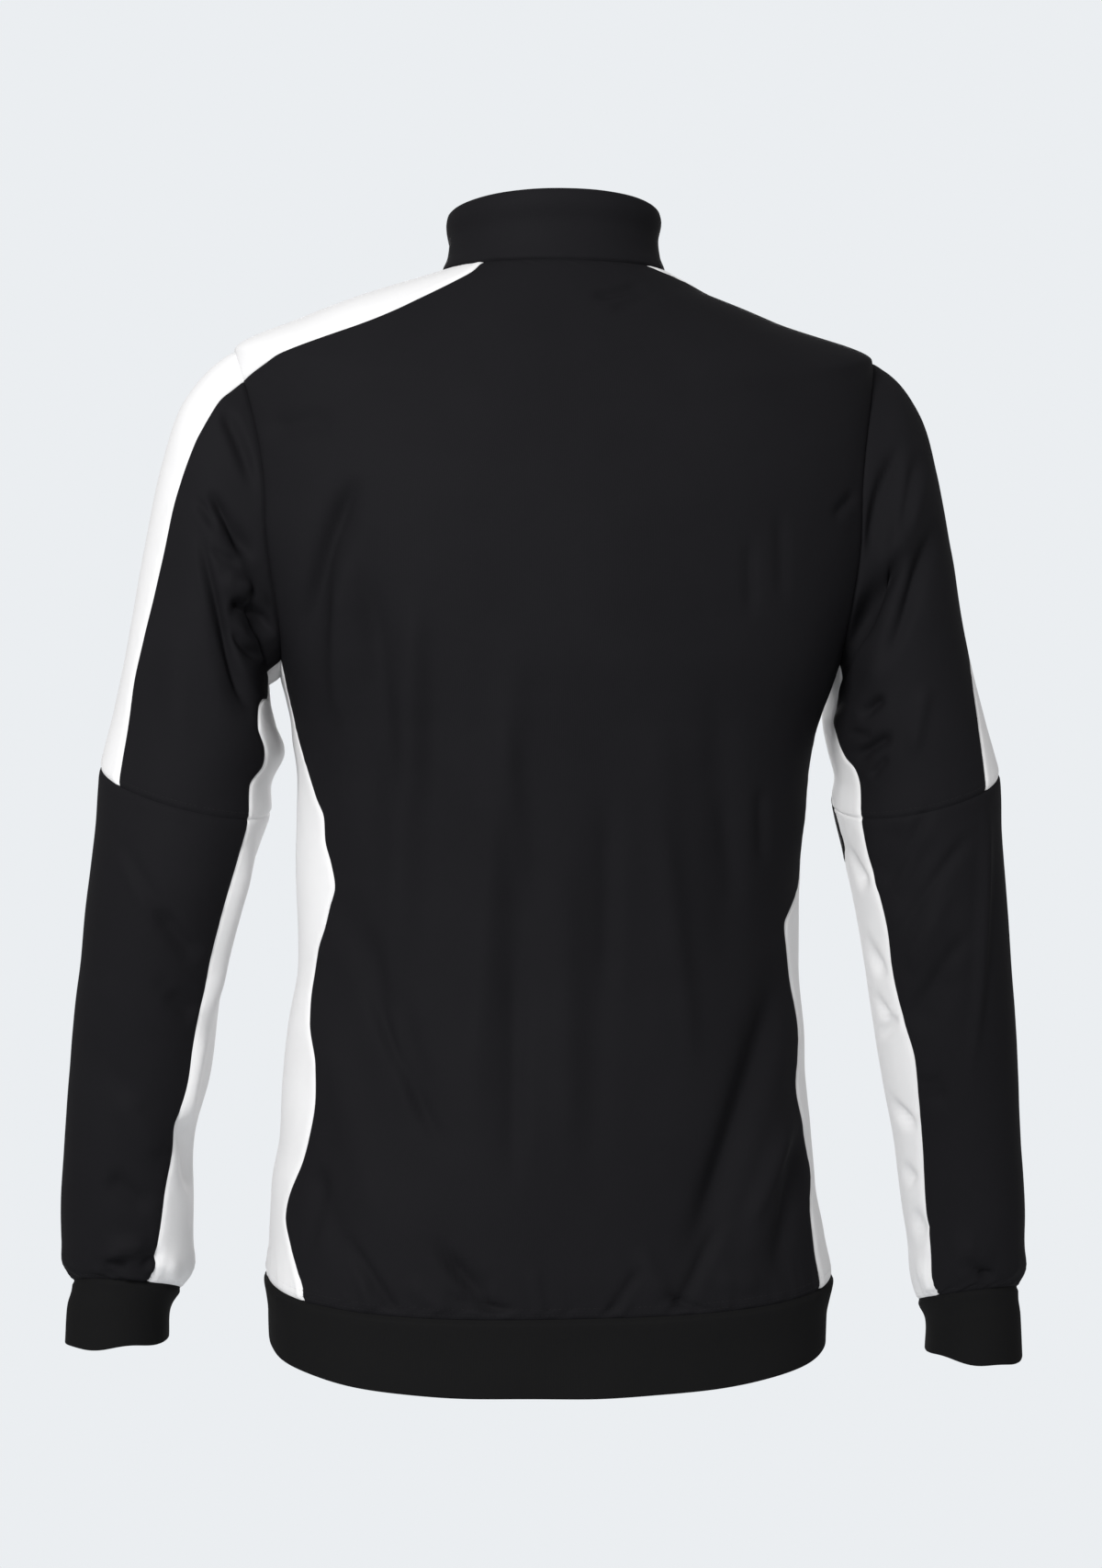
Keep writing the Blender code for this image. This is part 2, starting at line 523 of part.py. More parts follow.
def creased(form, u, v, step_u, step_v, side, behind, in_front):
    """Surface points with the folds of the side that they face."""
    points = form(u, v)
    normal = outward(form, u, v, step_u, step_v, side)
    facing = normal[..., 1]
    depth = (fold_depth(seen_from_behind(points), behind) * smooth_step(0.0, FOLD_FACING, facing)
             + fold_depth(points, in_front) * smooth_step(0.0, FOLD_FACING, -facing))
    return points + normal * depth[..., None]


def torso_cloth(angle, level):
    """The torso with its folds, which die out at the hem band and beside the zip."""
    plain = torso_form(angle, level)
    folded = creased(torso_form, angle, level, 0.5, 0.1, 1.0, FOLDS_BEHIND, FOLDS_IN_FRONT)
    calm = smooth_step(HEM_SEAM - 0.3, HEM_SEAM + 1.6, np.asarray(level, float))
    by_zip = np.where(plain[..., 1] < 0, smooth_step(0.015, 0.035, np.abs(plain[..., 0])), 1.0)
    return plain + (folded - plain) * (calm * by_zip)[..., None]


def sleeve_on(side):
    """The sleeve surface of one side, +1 the wearer's left."""
    flip = np.array([side, 1.0, 1.0])

    def form(turn, place):
        return sleeve_form(turn, place, side) * flip

    def cloth(turn, place):
        plain = form(turn, place)
        folded = creased(form, turn, np.maximum(place, 0.004), 0.5, 0.003, side,
                         SLEEVE_FOLDS_BEHIND, SLEEVE_FOLDS_IN_FRONT)
        place = np.broadcast_to(np.asarray(place, float), plain.shape[:-1])
        calm = (smooth_step(0.0, 0.12, place) * smooth_step(0.0, 0.05, WRIST - place))[..., None]
        return plain + (folded - plain) * calm
    return cloth


def at_armhole(side, turn):
    """The middle direction between torso and sleeve along the armhole seam."""
    angle, level = armhole(turn)
    body = outward(torso_cloth, angle * side, level, 1.0, 0.3)
    arm = outward(sleeve_on(side), turn, np.full(np.shape(turn), 0.03), 1.0, 0.02, side)
    middle = body + arm
    return middle / np.linalg.norm(middle, axis=-1, keepdims=True)


def patch(left, right, bottom, top):
    """Grid of surface places between four edge lines that share their corners."""
    rows, columns = len(left), len(bottom)
    v = np.linspace(0.0, 1.0, rows)[:, None, None]
    u = np.linspace(0.0, 1.0, columns)[None, :, None]
    sides = left[:, None] * (1 - u) + right[:, None] * u
    ends = bottom[None] * (1 - v) + top[None] * v
    corners = ((bottom[0] * (1 - u) + bottom[-1] * u) * (1 - v)
               + (top[0] * (1 - u) + top[-1] * u) * v)
    return sides + ends - corners


def line(angles, levels):
    return np.stack(np.broadcast_arrays(np.asarray(angles, float), np.asarray(levels, float)), -1)


def pull_edges(grid, edges, distance):
    """Edge rows moved inwards along the cloth, which leaves half a seam's gap at each."""
    moved = grid.copy()
    moves = {"start": (0, 1, 0), "end": (-1, -2, 0), "left": (0, 1, 1), "right": (-1, -2, 1)}
    for edge in edges:
        outer, inner, axis = moves[edge]
        edge_line = np.take(moved, outer, axis)
        step = np.take(moved, inner, axis) - edge_line
        step *= distance / np.linalg.norm(step, axis=-1, keepdims=True)
        index = (outer, slice(None)) if axis == 0 else (slice(None), outer)
        moved[index] = edge_line + step
    return moved


def add_shell(name, outer, normal, wall, finish, edges, around=False):
    """A closed wall between a grid of outer points and the same grid moved inwards."""
    inner = outer - normal * wall
    outer = pull_edges(outer, edges, SEAM_GAP / 2)
    inner = pull_edges(inner, edges, SEAM_GAP / 2)
    rows, columns = outer.shape[:2]
    mesh = bmesh.new()
    faces = []
    skins = [[[mesh.verts.new(point) for point in row] for row in skin]
             for skin in (outer, inner)]
    last = columns if around else columns - 1

    def quad(a, b, c, d):
        faces.append(mesh.faces.new((a, b, c, d)))

    for row in range(rows - 1):
        for column in range(last):
            after = (column + 1) % columns
            o, i = skins
            quad(o[row][column], o[row][after], o[row + 1][after], o[row + 1][column])
            quad(i[row][column], i[row + 1][column], i[row + 1][after], i[row][after])
    for column in range(last):
        after = (column + 1) % columns
        quad(skins[0][0][after], skins[0][0][column], skins[1][0][column], skins[1][0][after])
        quad(skins[0][-1][column], skins[0][-1][after], skins[1][-1][after], skins[1][-1][column])
    if not around:
        for row in range(rows - 1):
            quad(skins[0][row][0], skins[0][row + 1][0], skins[1][row + 1][0], skins[1][row][0])
            quad(skins[0][row + 1][-1], skins[0][row][-1], skins[1][row][-1],
                 skins[1][row + 1][-1])
    bmesh.ops.triangulate(mesh, faces=faces, quad_method="SHORT_EDGE")
    bmesh.ops.recalc_face_normals(mesh, faces=mesh.faces)
    if mesh.calc_volume(signed=True) < 0:
        bmesh.ops.reverse_faces(mesh, faces=mesh.faces)
    return finish_object(name, mesh, finish)


def finish_object(name, mesh, finish):
    data = bpy.data.meshes.new(name)
    mesh.to_mesh(data)
    mesh.free()
    data.shade_smooth()
    data.set_sharp_from_angle(angle=math.radians(50))
    data.materials.append(finish_material(*finish))
    part = bpy.data.objects.new(name, data)
    jacket.objects.link(part)
    return part


def finish_material(name, colour, roughness, metallic):
    material = bpy.data.materials.get(name)
    if material is None:
        material = bpy.data.materials.new(name)
        material.use_nodes = True
        shader = material.node_tree.nodes["Principled BSDF"]
        shader.inputs["Base Color"].default_value = colour
        shader.inputs["Roughness"].default_value = roughness
        shader.inputs["Metallic"].default_value = metallic
        material.diffuse_color = colour
    return material


def torso_piece(name, places, wall, finish, edges, proud=0.0, armhole_rows=None, side=1.0):
    """A wall on the torso; armhole_rows gives (row, column, turn) of its points on an armhole."""
    angle, level = places[..., 0], places[..., 1]
    points = torso_cloth(angle, level)
    normal = outward(torso_cloth, angle, level, 1.0, 0.3)
    for row, column, turn in armhole_rows or []:
        sign = 1.0 if angle[row, column] > 0 else -1.0
        normal[row, column] = at_armhole(sign, np.array([turn]))[0]
    return add_shell(name, points + normal * proud, normal, wall, finish, edges)


def seam_angle(table, level, side):
    left, right = smooth_rows(table, level)
    return left if side > 0 else right


def armhole_turns(side):
    """Turns of the armhole that its seams share: stripe, back, underarm, front."""
    index = 1 if side > 0 else 2
    corners = [STRIPE_EDGE_IN_FRONT[0][index], STRIPE_EDGE_BEHIND[0][index],
               UNDERARM_EDGE_BEHIND[0][index], UNDERARM_EDGE_IN_FRONT[0][index],
               STRIPE_EDGE_IN_FRONT[0][index] + 360.0]
    counts = [STRIPE_COLUMNS, SLEEVE_SIDE_COLUMNS, UNDERARM_COLUMNS, SLEEVE_SIDE_COLUMNS]
    return [np.linspace(a, b, n + 1) for a, b, n in zip(corners, corners[1:], counts)]


# Grid counts
STRIPE_COLUMNS = 4
SLEEVE_SIDE_COLUMNS = 8
UNDERARM_COLUMNS = 5
UPPER_ROWS = 10
LOWER_ROWS = 12
TUCK = 1.935                 # where the sleeve is widest above the cuff
HALF_BACK_COLUMNS = 11
FRONT_COLUMNS = 11
SIDE_LOW_ROWS = 14
SIDE_TOP_ROWS = 2
SIDE_BREAK = -28.0
STRIPE_ROWS = 6
BAND_COLUMNS = 26
COLLAR_COLUMNS = 18
COLLAR_HEIGHTS = [0.0, 0.25, 0.5, 0.78, 0.93, 1.0]
HEM_LEVELS = [HEM_BOTTOM, -66.8, -65.3, HEM_SEAM]
CUFF_PLACES = [WRIST, 2.03, 2.06, 2.1, CUFF_END]


def zip_angle(level, x):
    """The angle at which the front of the torso lies x cm from the middle."""
    width, _, _, _, _, _, square = smooth_rows(TORSO_ROUNDS, level)
    share = x / width
    along = (1 - share ** square) ** (1 / square)
    return 180.0 - np.degrees(np.arctan2(share, along))


def collar_zip_angle(height, x):
    width, _, _, _, square = smooth_rows(COLLAR_CUTS, height)
    share = x / width
    along = (1 - share ** square) ** (1 / square)
    return 180.0 - np.degrees(np.arctan2(share, along))


def side_levels(corner):
    """Levels of a side panel's seam from the hem up to its corner on the armhole."""
    return np.concatenate([np.linspace(HEM_SEAM, SIDE_BREAK, SIDE_LOW_ROWS + 1)[:-1],
                           np.linspace(SIDE_BREAK, corner, SIDE_TOP_ROWS + 1)])


def stripe_levels(corner):
    """Levels from a corner on the armhole up to the neck, closer together near the neck."""
    share = np.linspace(1.0, 0.0, STRIPE_ROWS + 1)
    return NECK_SEAM + (corner - NECK_SEAM) * share ** 1.4


def seam_to_corner(table, levels, side, corner):
    """A seam's angles, eased so that its end meets the corner on the armhole."""
    angles = seam_angle(table, levels, side)
    corner_angle, corner_level = corner
    miss = corner_angle - seam_angle(table, np.array([corner_level]), side)[0]
    far = 8.0 if corner_level < ARMHOLE_MIDDLE else 4.0
    return angles + miss * smooth_step(0.0, 1.0, 1 - np.abs(levels - corner_level) / far)


def half_edge(side, behind):
    """One panel edge from hem to neck: side seam, armhole and shoulder seam, as places."""
    stripe, back, under, front = armhole_turns(side)
    turns = back[::-1] if behind else front
    low = armhole(turns[0])
    high = armhole(turns[-1])
    side_table = SIDE_SEAM_BEHIND if behind else SIDE_SEAM_IN_FRONT
    stripe_table = SHOULDER_SEAM_BEHIND if behind else SHOULDER_SEAM_IN_FRONT
    lower = side_levels(float(low[1]))
    upper = stripe_levels(float(high[1]))
    hole_angles, hole_levels = armhole(turns)
    angles = np.concatenate([seam_to_corner(side_table, lower, side, low)[:-1], hole_angles,
                             seam_to_corner(stripe_table, upper, side, high)[1:]])
    levels = np.concatenate([lower[:-1], hole_levels, upper[1:]])
    on_hole = {len(lower) - 1 + step: turn for step, turn in enumerate(turns)}
    return line(angles * side, levels), on_hole


def add_back_panel():
    left, left_hole = half_edge(1.0, True)
    right, right_hole = half_edge(-1.0, True)
    share = np.linspace(-1.0, 1.0, 2 * HALF_BACK_COLUMNS + 1)
    places = []
    for (angle_l, level_l), (angle_r, level_r) in zip(left, right):
        angles = np.where(share > 0, share * angle_l, -share * angle_r)
        blend = (share + 1) / 2
        places.append(line(angles, level_r + (level_l - level_r) * smooth_step(0, 1, blend)))
    places = np.array(places)
    last = places.shape[1] - 1
    on_hole = ([(row, last, turn) for row, turn in left_hole.items()]
               + [(row, 0, turn) for row, turn in right_hole.items()])
    torso_piece("back_panel", places, PANEL_WALL, BLACK_KNIT,
                ("start", "end", "left", "right"), armhole_rows=on_hole)


def add_front_panel(side, word):
    edge, on_hole = half_edge(side, False)
    inner = line(zip_angle(edge[:, 1], ZIP_HALF_OPENING) * side, edge[:, 1])
    share = np.linspace(0.0, 1.0, FRONT_COLUMNS + 1)[None, :, None]
    places = edge[:, None] * (1 - share) + inner[:, None] * share
    torso_piece("front_panel_" + word, places, PANEL_WALL, BLACK_KNIT,
                ("start", "end", "left"), armhole_rows=[(r, 0, t) for r, t in on_hole.items()])


def add_side_panel(side, word):
    _, _, under, _ = armhole_turns(side)
    low_b, low_f = armhole(under[0]), armhole(under[-1])
    levels_b, levels_f = side_levels(float(low_b[1])), side_levels(float(low_f[1]))
    behind = line(seam_to_corner(SIDE_SEAM_BEHIND, levels_b, side, low_b), levels_b)
    in_front = line(seam_to_corner(SIDE_SEAM_IN_FRONT, levels_f, side, low_f), levels_f)
    top = line(*armhole(under))
    share = np.linspace(0.0, 1.0, len(top))[:, None]
    bottom = behind[0] * (1 - share) + in_front[0] * share
    places = patch(behind, in_front, bottom, top)
    places[..., 0] *= side
    rows = len(places) - 1
    on_hole = [(rows, column, turn) for column, turn in enumerate(under)]
    torso_piece("side_panel_" + word, places, PANEL_WALL, WHITE_KNIT,
                ("start", "end", "left", "right"), armhole_rows=on_hole)


def add_shoulder_stripe(side, word):
    stripe, _, _, _ = armhole_turns(side)
    turns = stripe[::-1]
    end_b, end_f = armhole(turns[0]), armhole(turns[-1])
    levels_b, levels_f = stripe_levels(float(end_b[1])), stripe_levels(float(end_f[1]))
    behind = line(seam_to_corner(SHOULDER_SEAM_BEHIND, levels_b, side, end_b), levels_b)
    in_front = line(seam_to_corner(SHOULDER_SEAM_IN_FRONT, levels_f, side, end_f), levels_f)
    bottom = line(*armhole(turns))
    share = np.linspace(0.0, 1.0, len(bottom))[:, None]
    top = behind[-1] * (1 - share) + in_front[-1] * share
    places = patch(behind, in_front, bottom, top)
    places[..., 0] *= side
    on_hole = [(0, column, turn) for column, turn in enumerate(turns)]
    torso_piece("shoulder_stripe_" + word, places, PANEL_WALL, WHITE_KNIT,
                ("start", "end", "left", "right"), armhole_rows=on_hole)


def add_hem_band():
    levels = np.array(HEM_LEVELS)
    end = zip_angle(levels, ZIP_HALF_OPENING)
    share = np.linspace(-1.0, 1.0, 2 * BAND_COLUMNS + 1)
    places = line(end[:, None] * share[None, :], levels[:, None])
    torso_piece("hem_band", places, BAND_WALL, BLACK_BAND, ("end",), proud=BAND_PROUD)


def add_collar():
    heights = np.array(COLLAR_HEIGHTS)
    end = collar_zip_angle(heights, ZIP_HALF_OPENING)
    share = np.linspace(-1.0, 1.0, 2 * COLLAR_COLUMNS + 1)
    angle, height = end[:, None] * share[None, :], np.repeat(heights[:, None], len(share), 1)
    points = collar_form(angle, height)
    normal = outward(collar_form, angle, height, 1.0, 0.03)
    add_shell("collar", points, normal, COLLAR_WALL, BLACK_KNIT, ())


def add_zip_tape(side, word):
    """A tape behind the cloth edges, from the hem's bottom to the top of the collar."""
    across = np.array([SEAM_GAP / 2 / CM, TAPE_REACH / 2, TAPE_REACH])
    cloth_levels = half_edge(side, False)[0][:, 1]
    levels = np.concatenate([np.array(HEM_LEVELS), cloth_levels[1:-1], [-0.6, NECK_SEAM]])
    angle = np.array([zip_angle(levels, x) for x in across]).T * side
    body = torso_form(angle, levels[:, None])
    body_out = outward(torso_form, angle, np.repeat(levels[:, None], 3, 1), 1.0, 0.3)
    heights = np.array([0.15, 0.35, 0.6, 0.8, 0.93])
    angle = np.array([collar_zip_angle(heights, x) for x in across]).T * side
    neck = collar_form(angle, heights[:, None])
    neck_out = outward(collar_form, angle, np.repeat(heights[:, None], 3, 1), 1.0, 0.03)
    depth = smooth_rows(TAPE_DEPTHS, levels)[0][:, None, None] * CM
    points = np.concatenate([body - body_out * depth, neck - neck_out * TAPE_UNDER_COLLAR])
    normal = np.concatenate([body_out, neck_out])
    add_shell("zip_tape_" + word, points, normal, TAPE_WALL, BLACK_TAPE, ())


def sleeve_columns(side, place):
    """Turns at one place along a sleeve where its seams and columns run."""
    edges = [seam_angle(table, place, side) for table in
             (STRIPE_EDGE_IN_FRONT, STRIPE_EDGE_BEHIND, UNDERARM_EDGE_BEHIND,
              UNDERARM_EDGE_IN_FRONT)]
    edges.append(edges[0] + 360.0)
    counts = [STRIPE_COLUMNS, SLEEVE_SIDE_COLUMNS, UNDERARM_COLUMNS, SLEEVE_SIDE_COLUMNS]
    return [np.linspace(a, b, n + 1) for a, b, n in zip(edges, edges[1:], counts)]


def sleeve_grid(side, places, first, last):
    """Turns of a piece that spans the given stretches of the sleeve."""
    rows = []
    for place in places:
        stretches = sleeve_columns(side, np.array(min(place, WRIST)))
        spans = [stretches[n % 4] + 360.0 * (n // 4) for n in range(first, last + 1)]
        rows.append(np.concatenate([span[:-1] for span in spans] + [spans[-1][-1:]]))
    return np.array(rows)


def add_sleeve_piece(name, side, places, stretches, wall, finish, edges, proud=0.0, around=False):
    turn = sleeve_grid(side, places, *stretches)
    if around:
        turn = turn[:, :-1]
    place = np.repeat(np.array(places)[:, None], turn.shape[1], 1)
    cloth = sleeve_on(side)
    points = cloth(turn, place)
    normal = outward(cloth, turn, np.maximum(place, 0.02), 1.0, 0.01, side)
    if places[0] == 0.0:
        normal[0] = at_armhole(side, turn[0])
    add_shell(name, points + normal * proud, normal, wall, finish, edges, around)


def add_sleeve(side, word):
    share = np.linspace(0.0, 1.0, UPPER_ROWS + 1)
    upper = share ** 1.15
    lower = np.concatenate([np.linspace(ELBOW, TUCK, LOWER_ROWS), [(TUCK + WRIST) / 2, WRIST]])
    all_edges = ("start", "end", "left", "right")
    pieces = [
        ("sleeve_stripe_", upper, (0, 0), WHITE_KNIT),
        ("sleeve_upper_back_", upper, (1, 1), BLACK_KNIT),
        ("underarm_upper_", upper, (2, 2), WHITE_KNIT),
        ("sleeve_upper_front_", upper, (3, 3), BLACK_KNIT),
        ("underarm_lower_", lower, (2, 2), WHITE_KNIT),
        ("sleeve_lower_", lower, (3, 5), BLACK_KNIT),
    ]
    for stem, places, stretches, finish in pieces:
        add_sleeve_piece(stem + word, side, places, stretches, PANEL_WALL, finish, all_edges)
    add_sleeve_piece("cuff_" + word, side, CUFF_PLACES, (0, 3), BAND_WALL, BLACK_BAND,
                     ("start",), proud=BAND_PROUD / 2, around=True)


def add_box(mesh, low, high):
    middle = [(a + b) / 2 for a, b in zip(low, high)]
    made = bmesh.ops.create_cube(mesh, size=1.0)["verts"]
    bmesh.ops.scale(mesh, verts=made, vec=[b - a for a, b in zip(low, high)])
    bmesh.ops.translate(mesh, verts=made, vec=middle)


def joined(name, boxes, finish, place, tilt):
    """Overlapping boxes made one body by Boolean unions, then set at a place and tilt."""
    made = []
    for number, (low, high) in enumerate(boxes):
        mesh = bmesh.new()
        add_box(mesh, low, high)
        data = bpy.data.meshes.new(f"{name}_{number}")
        mesh.to_mesh(data)
        mesh.free()
        box = bpy.data.objects.new(f"{name}_{number}", data)
        jacket.objects.link(box)
        made.append(box)
    body = made[0]
    for other in made[1:]:
        join = body.modifiers.new("join", "BOOLEAN")
        join.operation = "UNION"
        join.object = other
    bpy.context.view_layer.update()
    data = bpy.data.meshes.new_from_object(
        body.evaluated_get(bpy.context.evaluated_depsgraph_get()))
    for box in made:
        bpy.data.objects.remove(box)
    data.name = name
    data.materials.clear()
    data.materials.append(finish_material(*finish))
    part = bpy.data.objects.new(name, data)
    part.location = place
    part.rotation_euler = (tilt, 0.0, 0.0)
    jacket.objects.link(part)
    return part


def add_slider_and_tab():
    """Slider at the top of the closed zip, with its pull tab hanging from the arch."""
    top = collar_form(180.0, 0.9)
    low = collar_form(180.0, 0.55)
    rise = top - low
    length = np.linalg.norm(rise)
    tilt = math.atan2(rise[1], rise[2])
    face = top - rise / length * SLIDER_BELOW_TOP
    # Local frame: z up along the collar, -y out of it, y = 0 the collar's outer face
    plate_back = -SLIDER_CLEARANCE
    plate_front = plate_back - SLIDER_PLATE
    core_back = TAPE_UNDER_COLLAR - SLIDER_CLEARANCE
    half = SLIDER_HEIGHT / 2
    arch_top, arch_low = ARCH_HEIGHT / 2, -ARCH_HEIGHT / 2
    arch_out = plate_front - ARCH_REACH
    overlap = 0.3 * MM
    boxes = [
        ((-SLIDER_WIDTH / 2, plate_front, -half), (SLIDER_WIDTH / 2, plate_back, half)),
        ((-SLIDER_CORE_WIDTH / 2, plate_back - overlap, -half + 2 * MM),
         (SLIDER_CORE_WIDTH / 2, core_back, half - MM)),
        ((-ARCH_WIDTH / 2, arch_out, arch_top - ARCH_BAR),
         (ARCH_WIDTH / 2, plate_front + overlap, arch_top)),
        ((-ARCH_WIDTH / 2, arch_out, arch_low),
         (ARCH_WIDTH / 2, arch_out + ARCH_BAR, arch_top)),
        ((-ARCH_WIDTH / 2, arch_out, arch_low),
         (ARCH_WIDTH / 2, plate_front + overlap, arch_low + ARCH_BAR)),
    ]
    joined("zip_slider", boxes, DARK_METAL, face, -tilt)
    # The tab's top bar lies inside the arch, and the tab hangs in front of the slider
    hang_y = (plate_front + arch_out + ARCH_BAR) / 2
    bar = TAB_BAR / 2
    rail = (TAB_WIDTH - TAB_EYE_WIDTH) / 2
    inside = TAB_EYE_WIDTH / 2
    tab = [
        ((-TAB_WIDTH / 2, -TAB_THICK / 2, -bar), (TAB_WIDTH / 2, TAB_THICK / 2, bar)),
        ((-TAB_WIDTH / 2, -TAB_THICK / 2, -TAB_EYE_LENGTH - 2 * bar),
         (-inside, TAB_THICK / 2, bar)),
        ((inside, -TAB_THICK / 2, -TAB_EYE_LENGTH - 2 * bar),
         (TAB_WIDTH / 2, TAB_THICK / 2, bar)),
        ((-TAB_WIDTH / 2, -TAB_THICK / 2, -TAB_LENGTH),
         (TAB_WIDTH / 2, TAB_THICK / 2, -TAB_EYE_LENGTH)),
    ]
    local = np.array([0.0, hang_y, arch_low + ARCH_BAR + bar + 0.35 * MM])
    turn = np.array([[1, 0, 0], [0, math.cos(-tilt), -math.sin(-tilt)],
                     [0, math.sin(-tilt), math.cos(-tilt)]])
    pivot = face + turn @ local
    joined("zip_pull_tab", tab, DARK_METAL, pivot, 0.0)


for old in list(bpy.data.objects):
    bpy.data.objects.remove(old)
jacket = bpy.data.collections.new("track_jacket")
bpy.context.scene.collection.children.link(jacket)

add_back_panel()
add_hem_band()
add_collar()
for side, word in ((1.0, "left"), (-1.0, "right")):
    add_front_panel(side, word)
    add_side_panel(side, word)
    add_shoulder_stripe(side, word)
    add_sleeve(side, word)
    add_zip_tape(side, word)
add_slider_and_tab()
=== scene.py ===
"""Track jacket, filled out as when worn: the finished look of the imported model.

Frame: +X the wearer's left, -Y the front, +Z up, metres. The origin is the middle of the neck.
The tables below are in centimetres and degrees. Surface functions return points in metres.
Each cloth piece is a thin closed shell on the form of its solid, with seams rolled in.
"""
import math

import bmesh
import bpy
import numpy as np
from mathutils import Matrix, Vector, noise


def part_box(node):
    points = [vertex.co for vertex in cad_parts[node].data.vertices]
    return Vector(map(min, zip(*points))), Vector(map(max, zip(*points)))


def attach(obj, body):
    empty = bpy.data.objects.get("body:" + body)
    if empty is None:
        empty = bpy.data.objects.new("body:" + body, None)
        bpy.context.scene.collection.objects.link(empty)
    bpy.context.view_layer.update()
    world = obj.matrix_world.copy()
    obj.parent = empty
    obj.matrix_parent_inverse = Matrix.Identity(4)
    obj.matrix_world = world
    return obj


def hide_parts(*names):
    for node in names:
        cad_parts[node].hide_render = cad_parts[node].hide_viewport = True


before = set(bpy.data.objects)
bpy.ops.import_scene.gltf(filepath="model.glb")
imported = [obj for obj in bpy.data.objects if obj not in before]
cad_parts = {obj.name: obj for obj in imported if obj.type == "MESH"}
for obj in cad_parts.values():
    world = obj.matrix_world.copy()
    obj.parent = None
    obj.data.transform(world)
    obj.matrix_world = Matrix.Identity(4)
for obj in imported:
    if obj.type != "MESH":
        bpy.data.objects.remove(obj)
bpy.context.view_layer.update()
bpy.context.scene.view_settings.view_transform = "Standard"

CM = 0.01
MM = 0.001

# Cloth
CLOTH_THICK = 1.2 * MM
BAND_THICK = 3.0 * MM
BAND_PROUD = 1.5 * MM
CUFF_PROUD = 0.75 * MM
COLLAR_THICK = 3.0 * MM
TAPE_THICK = 0.9 * MM
ZIP_HALF_OPENING = 0.35      # cm
TAPE_REACH = 1.4             # cm
TAPE_DEPTHS = [
    (-69.0, 0.185),
    (-1.4, 0.185),
    (-0.6, 0.36),
    (0.0, 0.52),
]
TAPE_UNDER_COLLAR = 3.5 * MM
TAPE_BODY_TOP = -1.6         # cm; above these two levels the tape's points lie closer together
TAPE_NECK_START = -1.2
TAPE_IN_COLLAR = (0.15, 0.93)    # of the collar's height

# Seams: the cloth rolls in at its edges, swells beside the seam and puckers along it
SEAM_DEPTH = 0.75 * MM
SEAM_SOFT = 1.4 * MM
SEAM_SWELL = 0.14 * MM
SWELL_AT = 5.5 * MM
SWELL_SOFT = 3.2 * MM
PUCKER = 0.2 * MM
PUCKER_REACH = 9.0 * MM
RIPPLE_LENGTHS = (8.3 * MM, 13.1 * MM, 21.7 * MM)
RIPPLE_BEND = 1.3
RIPPLE_BEND_LENGTH = 3.1     # of the ripple's own length
FOLD_EDGE_RADIUS = 1.3 * MM
FOLD_EDGE_TURN = 0.35        # how far the inner skin meets the outer one along a fold
STITCH_SINK = 0.12 * MM
STITCH_SOFT = 0.9 * MM
MITRE_REACH = 8.0 * MM
PROUD_REACH = 3.5 * MM
EDGE_STEPS = np.array([0.0, 0.5, 1.0, 1.6, 2.3, 3.0, 3.7, 4.4, 5.3, 6.6, 8.4, 10.8]) * MM
GRID_STEP = 2.9 * MM
UNEVEN_WAVES = ((62.0 * MM, 0.55 * MM), (23.0 * MM, 0.16 * MM))
UNEVEN_SHIFT = 7.3

# Lengths of the pieces along their grids, metres
SIDE_LENGTH = 0.38
ARMHOLE_EDGE = 0.20
SHOULDER_LENGTH = 0.13
BACK_WIDTH = 0.36
FRONT_WIDTH = 0.20
SIDE_WIDTH = 0.09
STRIPE_WIDTH = 0.06
BAND_HEIGHT = 0.045
HEM_ROUND = 1.0
COLLAR_ROUND = 0.42
UPPER_LENGTH = 0.30
LOWER_LENGTH = 0.31
CUFF_ROUND = 0.22
SLEEVE_WIDTHS = {"sleeve_stripe": 0.05, "sleeve_upper_back": 0.16, "underarm_upper": 0.08,
                 "sleeve_upper_front": 0.16, "underarm_lower": 0.06, "sleeve_lower": 0.26}

# Edges and rows of stitches
SEWN_ROUND = {"start": "seam", "end": "seam", "left": "seam", "right": "seam"}
HEM_ROWS = (("start", 2.5 * MM), ("start", 6.5 * MM))
SLEEVE_ROWS = (("end", 4.0 * MM),)
ZIP_ROW = 5.0 * MM
COLLAR_START = -0.04         # the height at which the sewn edge meets the neck seam

# Zip slider and pull tab
SLIDER_WIDTH = 8.6 * MM
SLIDER_HEIGHT = 12.0 * MM
SLIDER_PLATE = 1.6 * MM
SLIDER_BELOW_TOP = 10.0 * MM
SLIDER_CLEARANCE = 0.7 * MM
ARCH_HEIGHT = 8.4 * MM
ARCH_REACH = 4.4 * MM
ARCH_BAR = 1.5 * MM
TAB_THICK = 1.4 * MM
TAB_EYE_WIDTH = 2.6 * MM
TAB_EYE_LENGTH = 5.0 * MM
TAB_BAR = 1.3 * MM

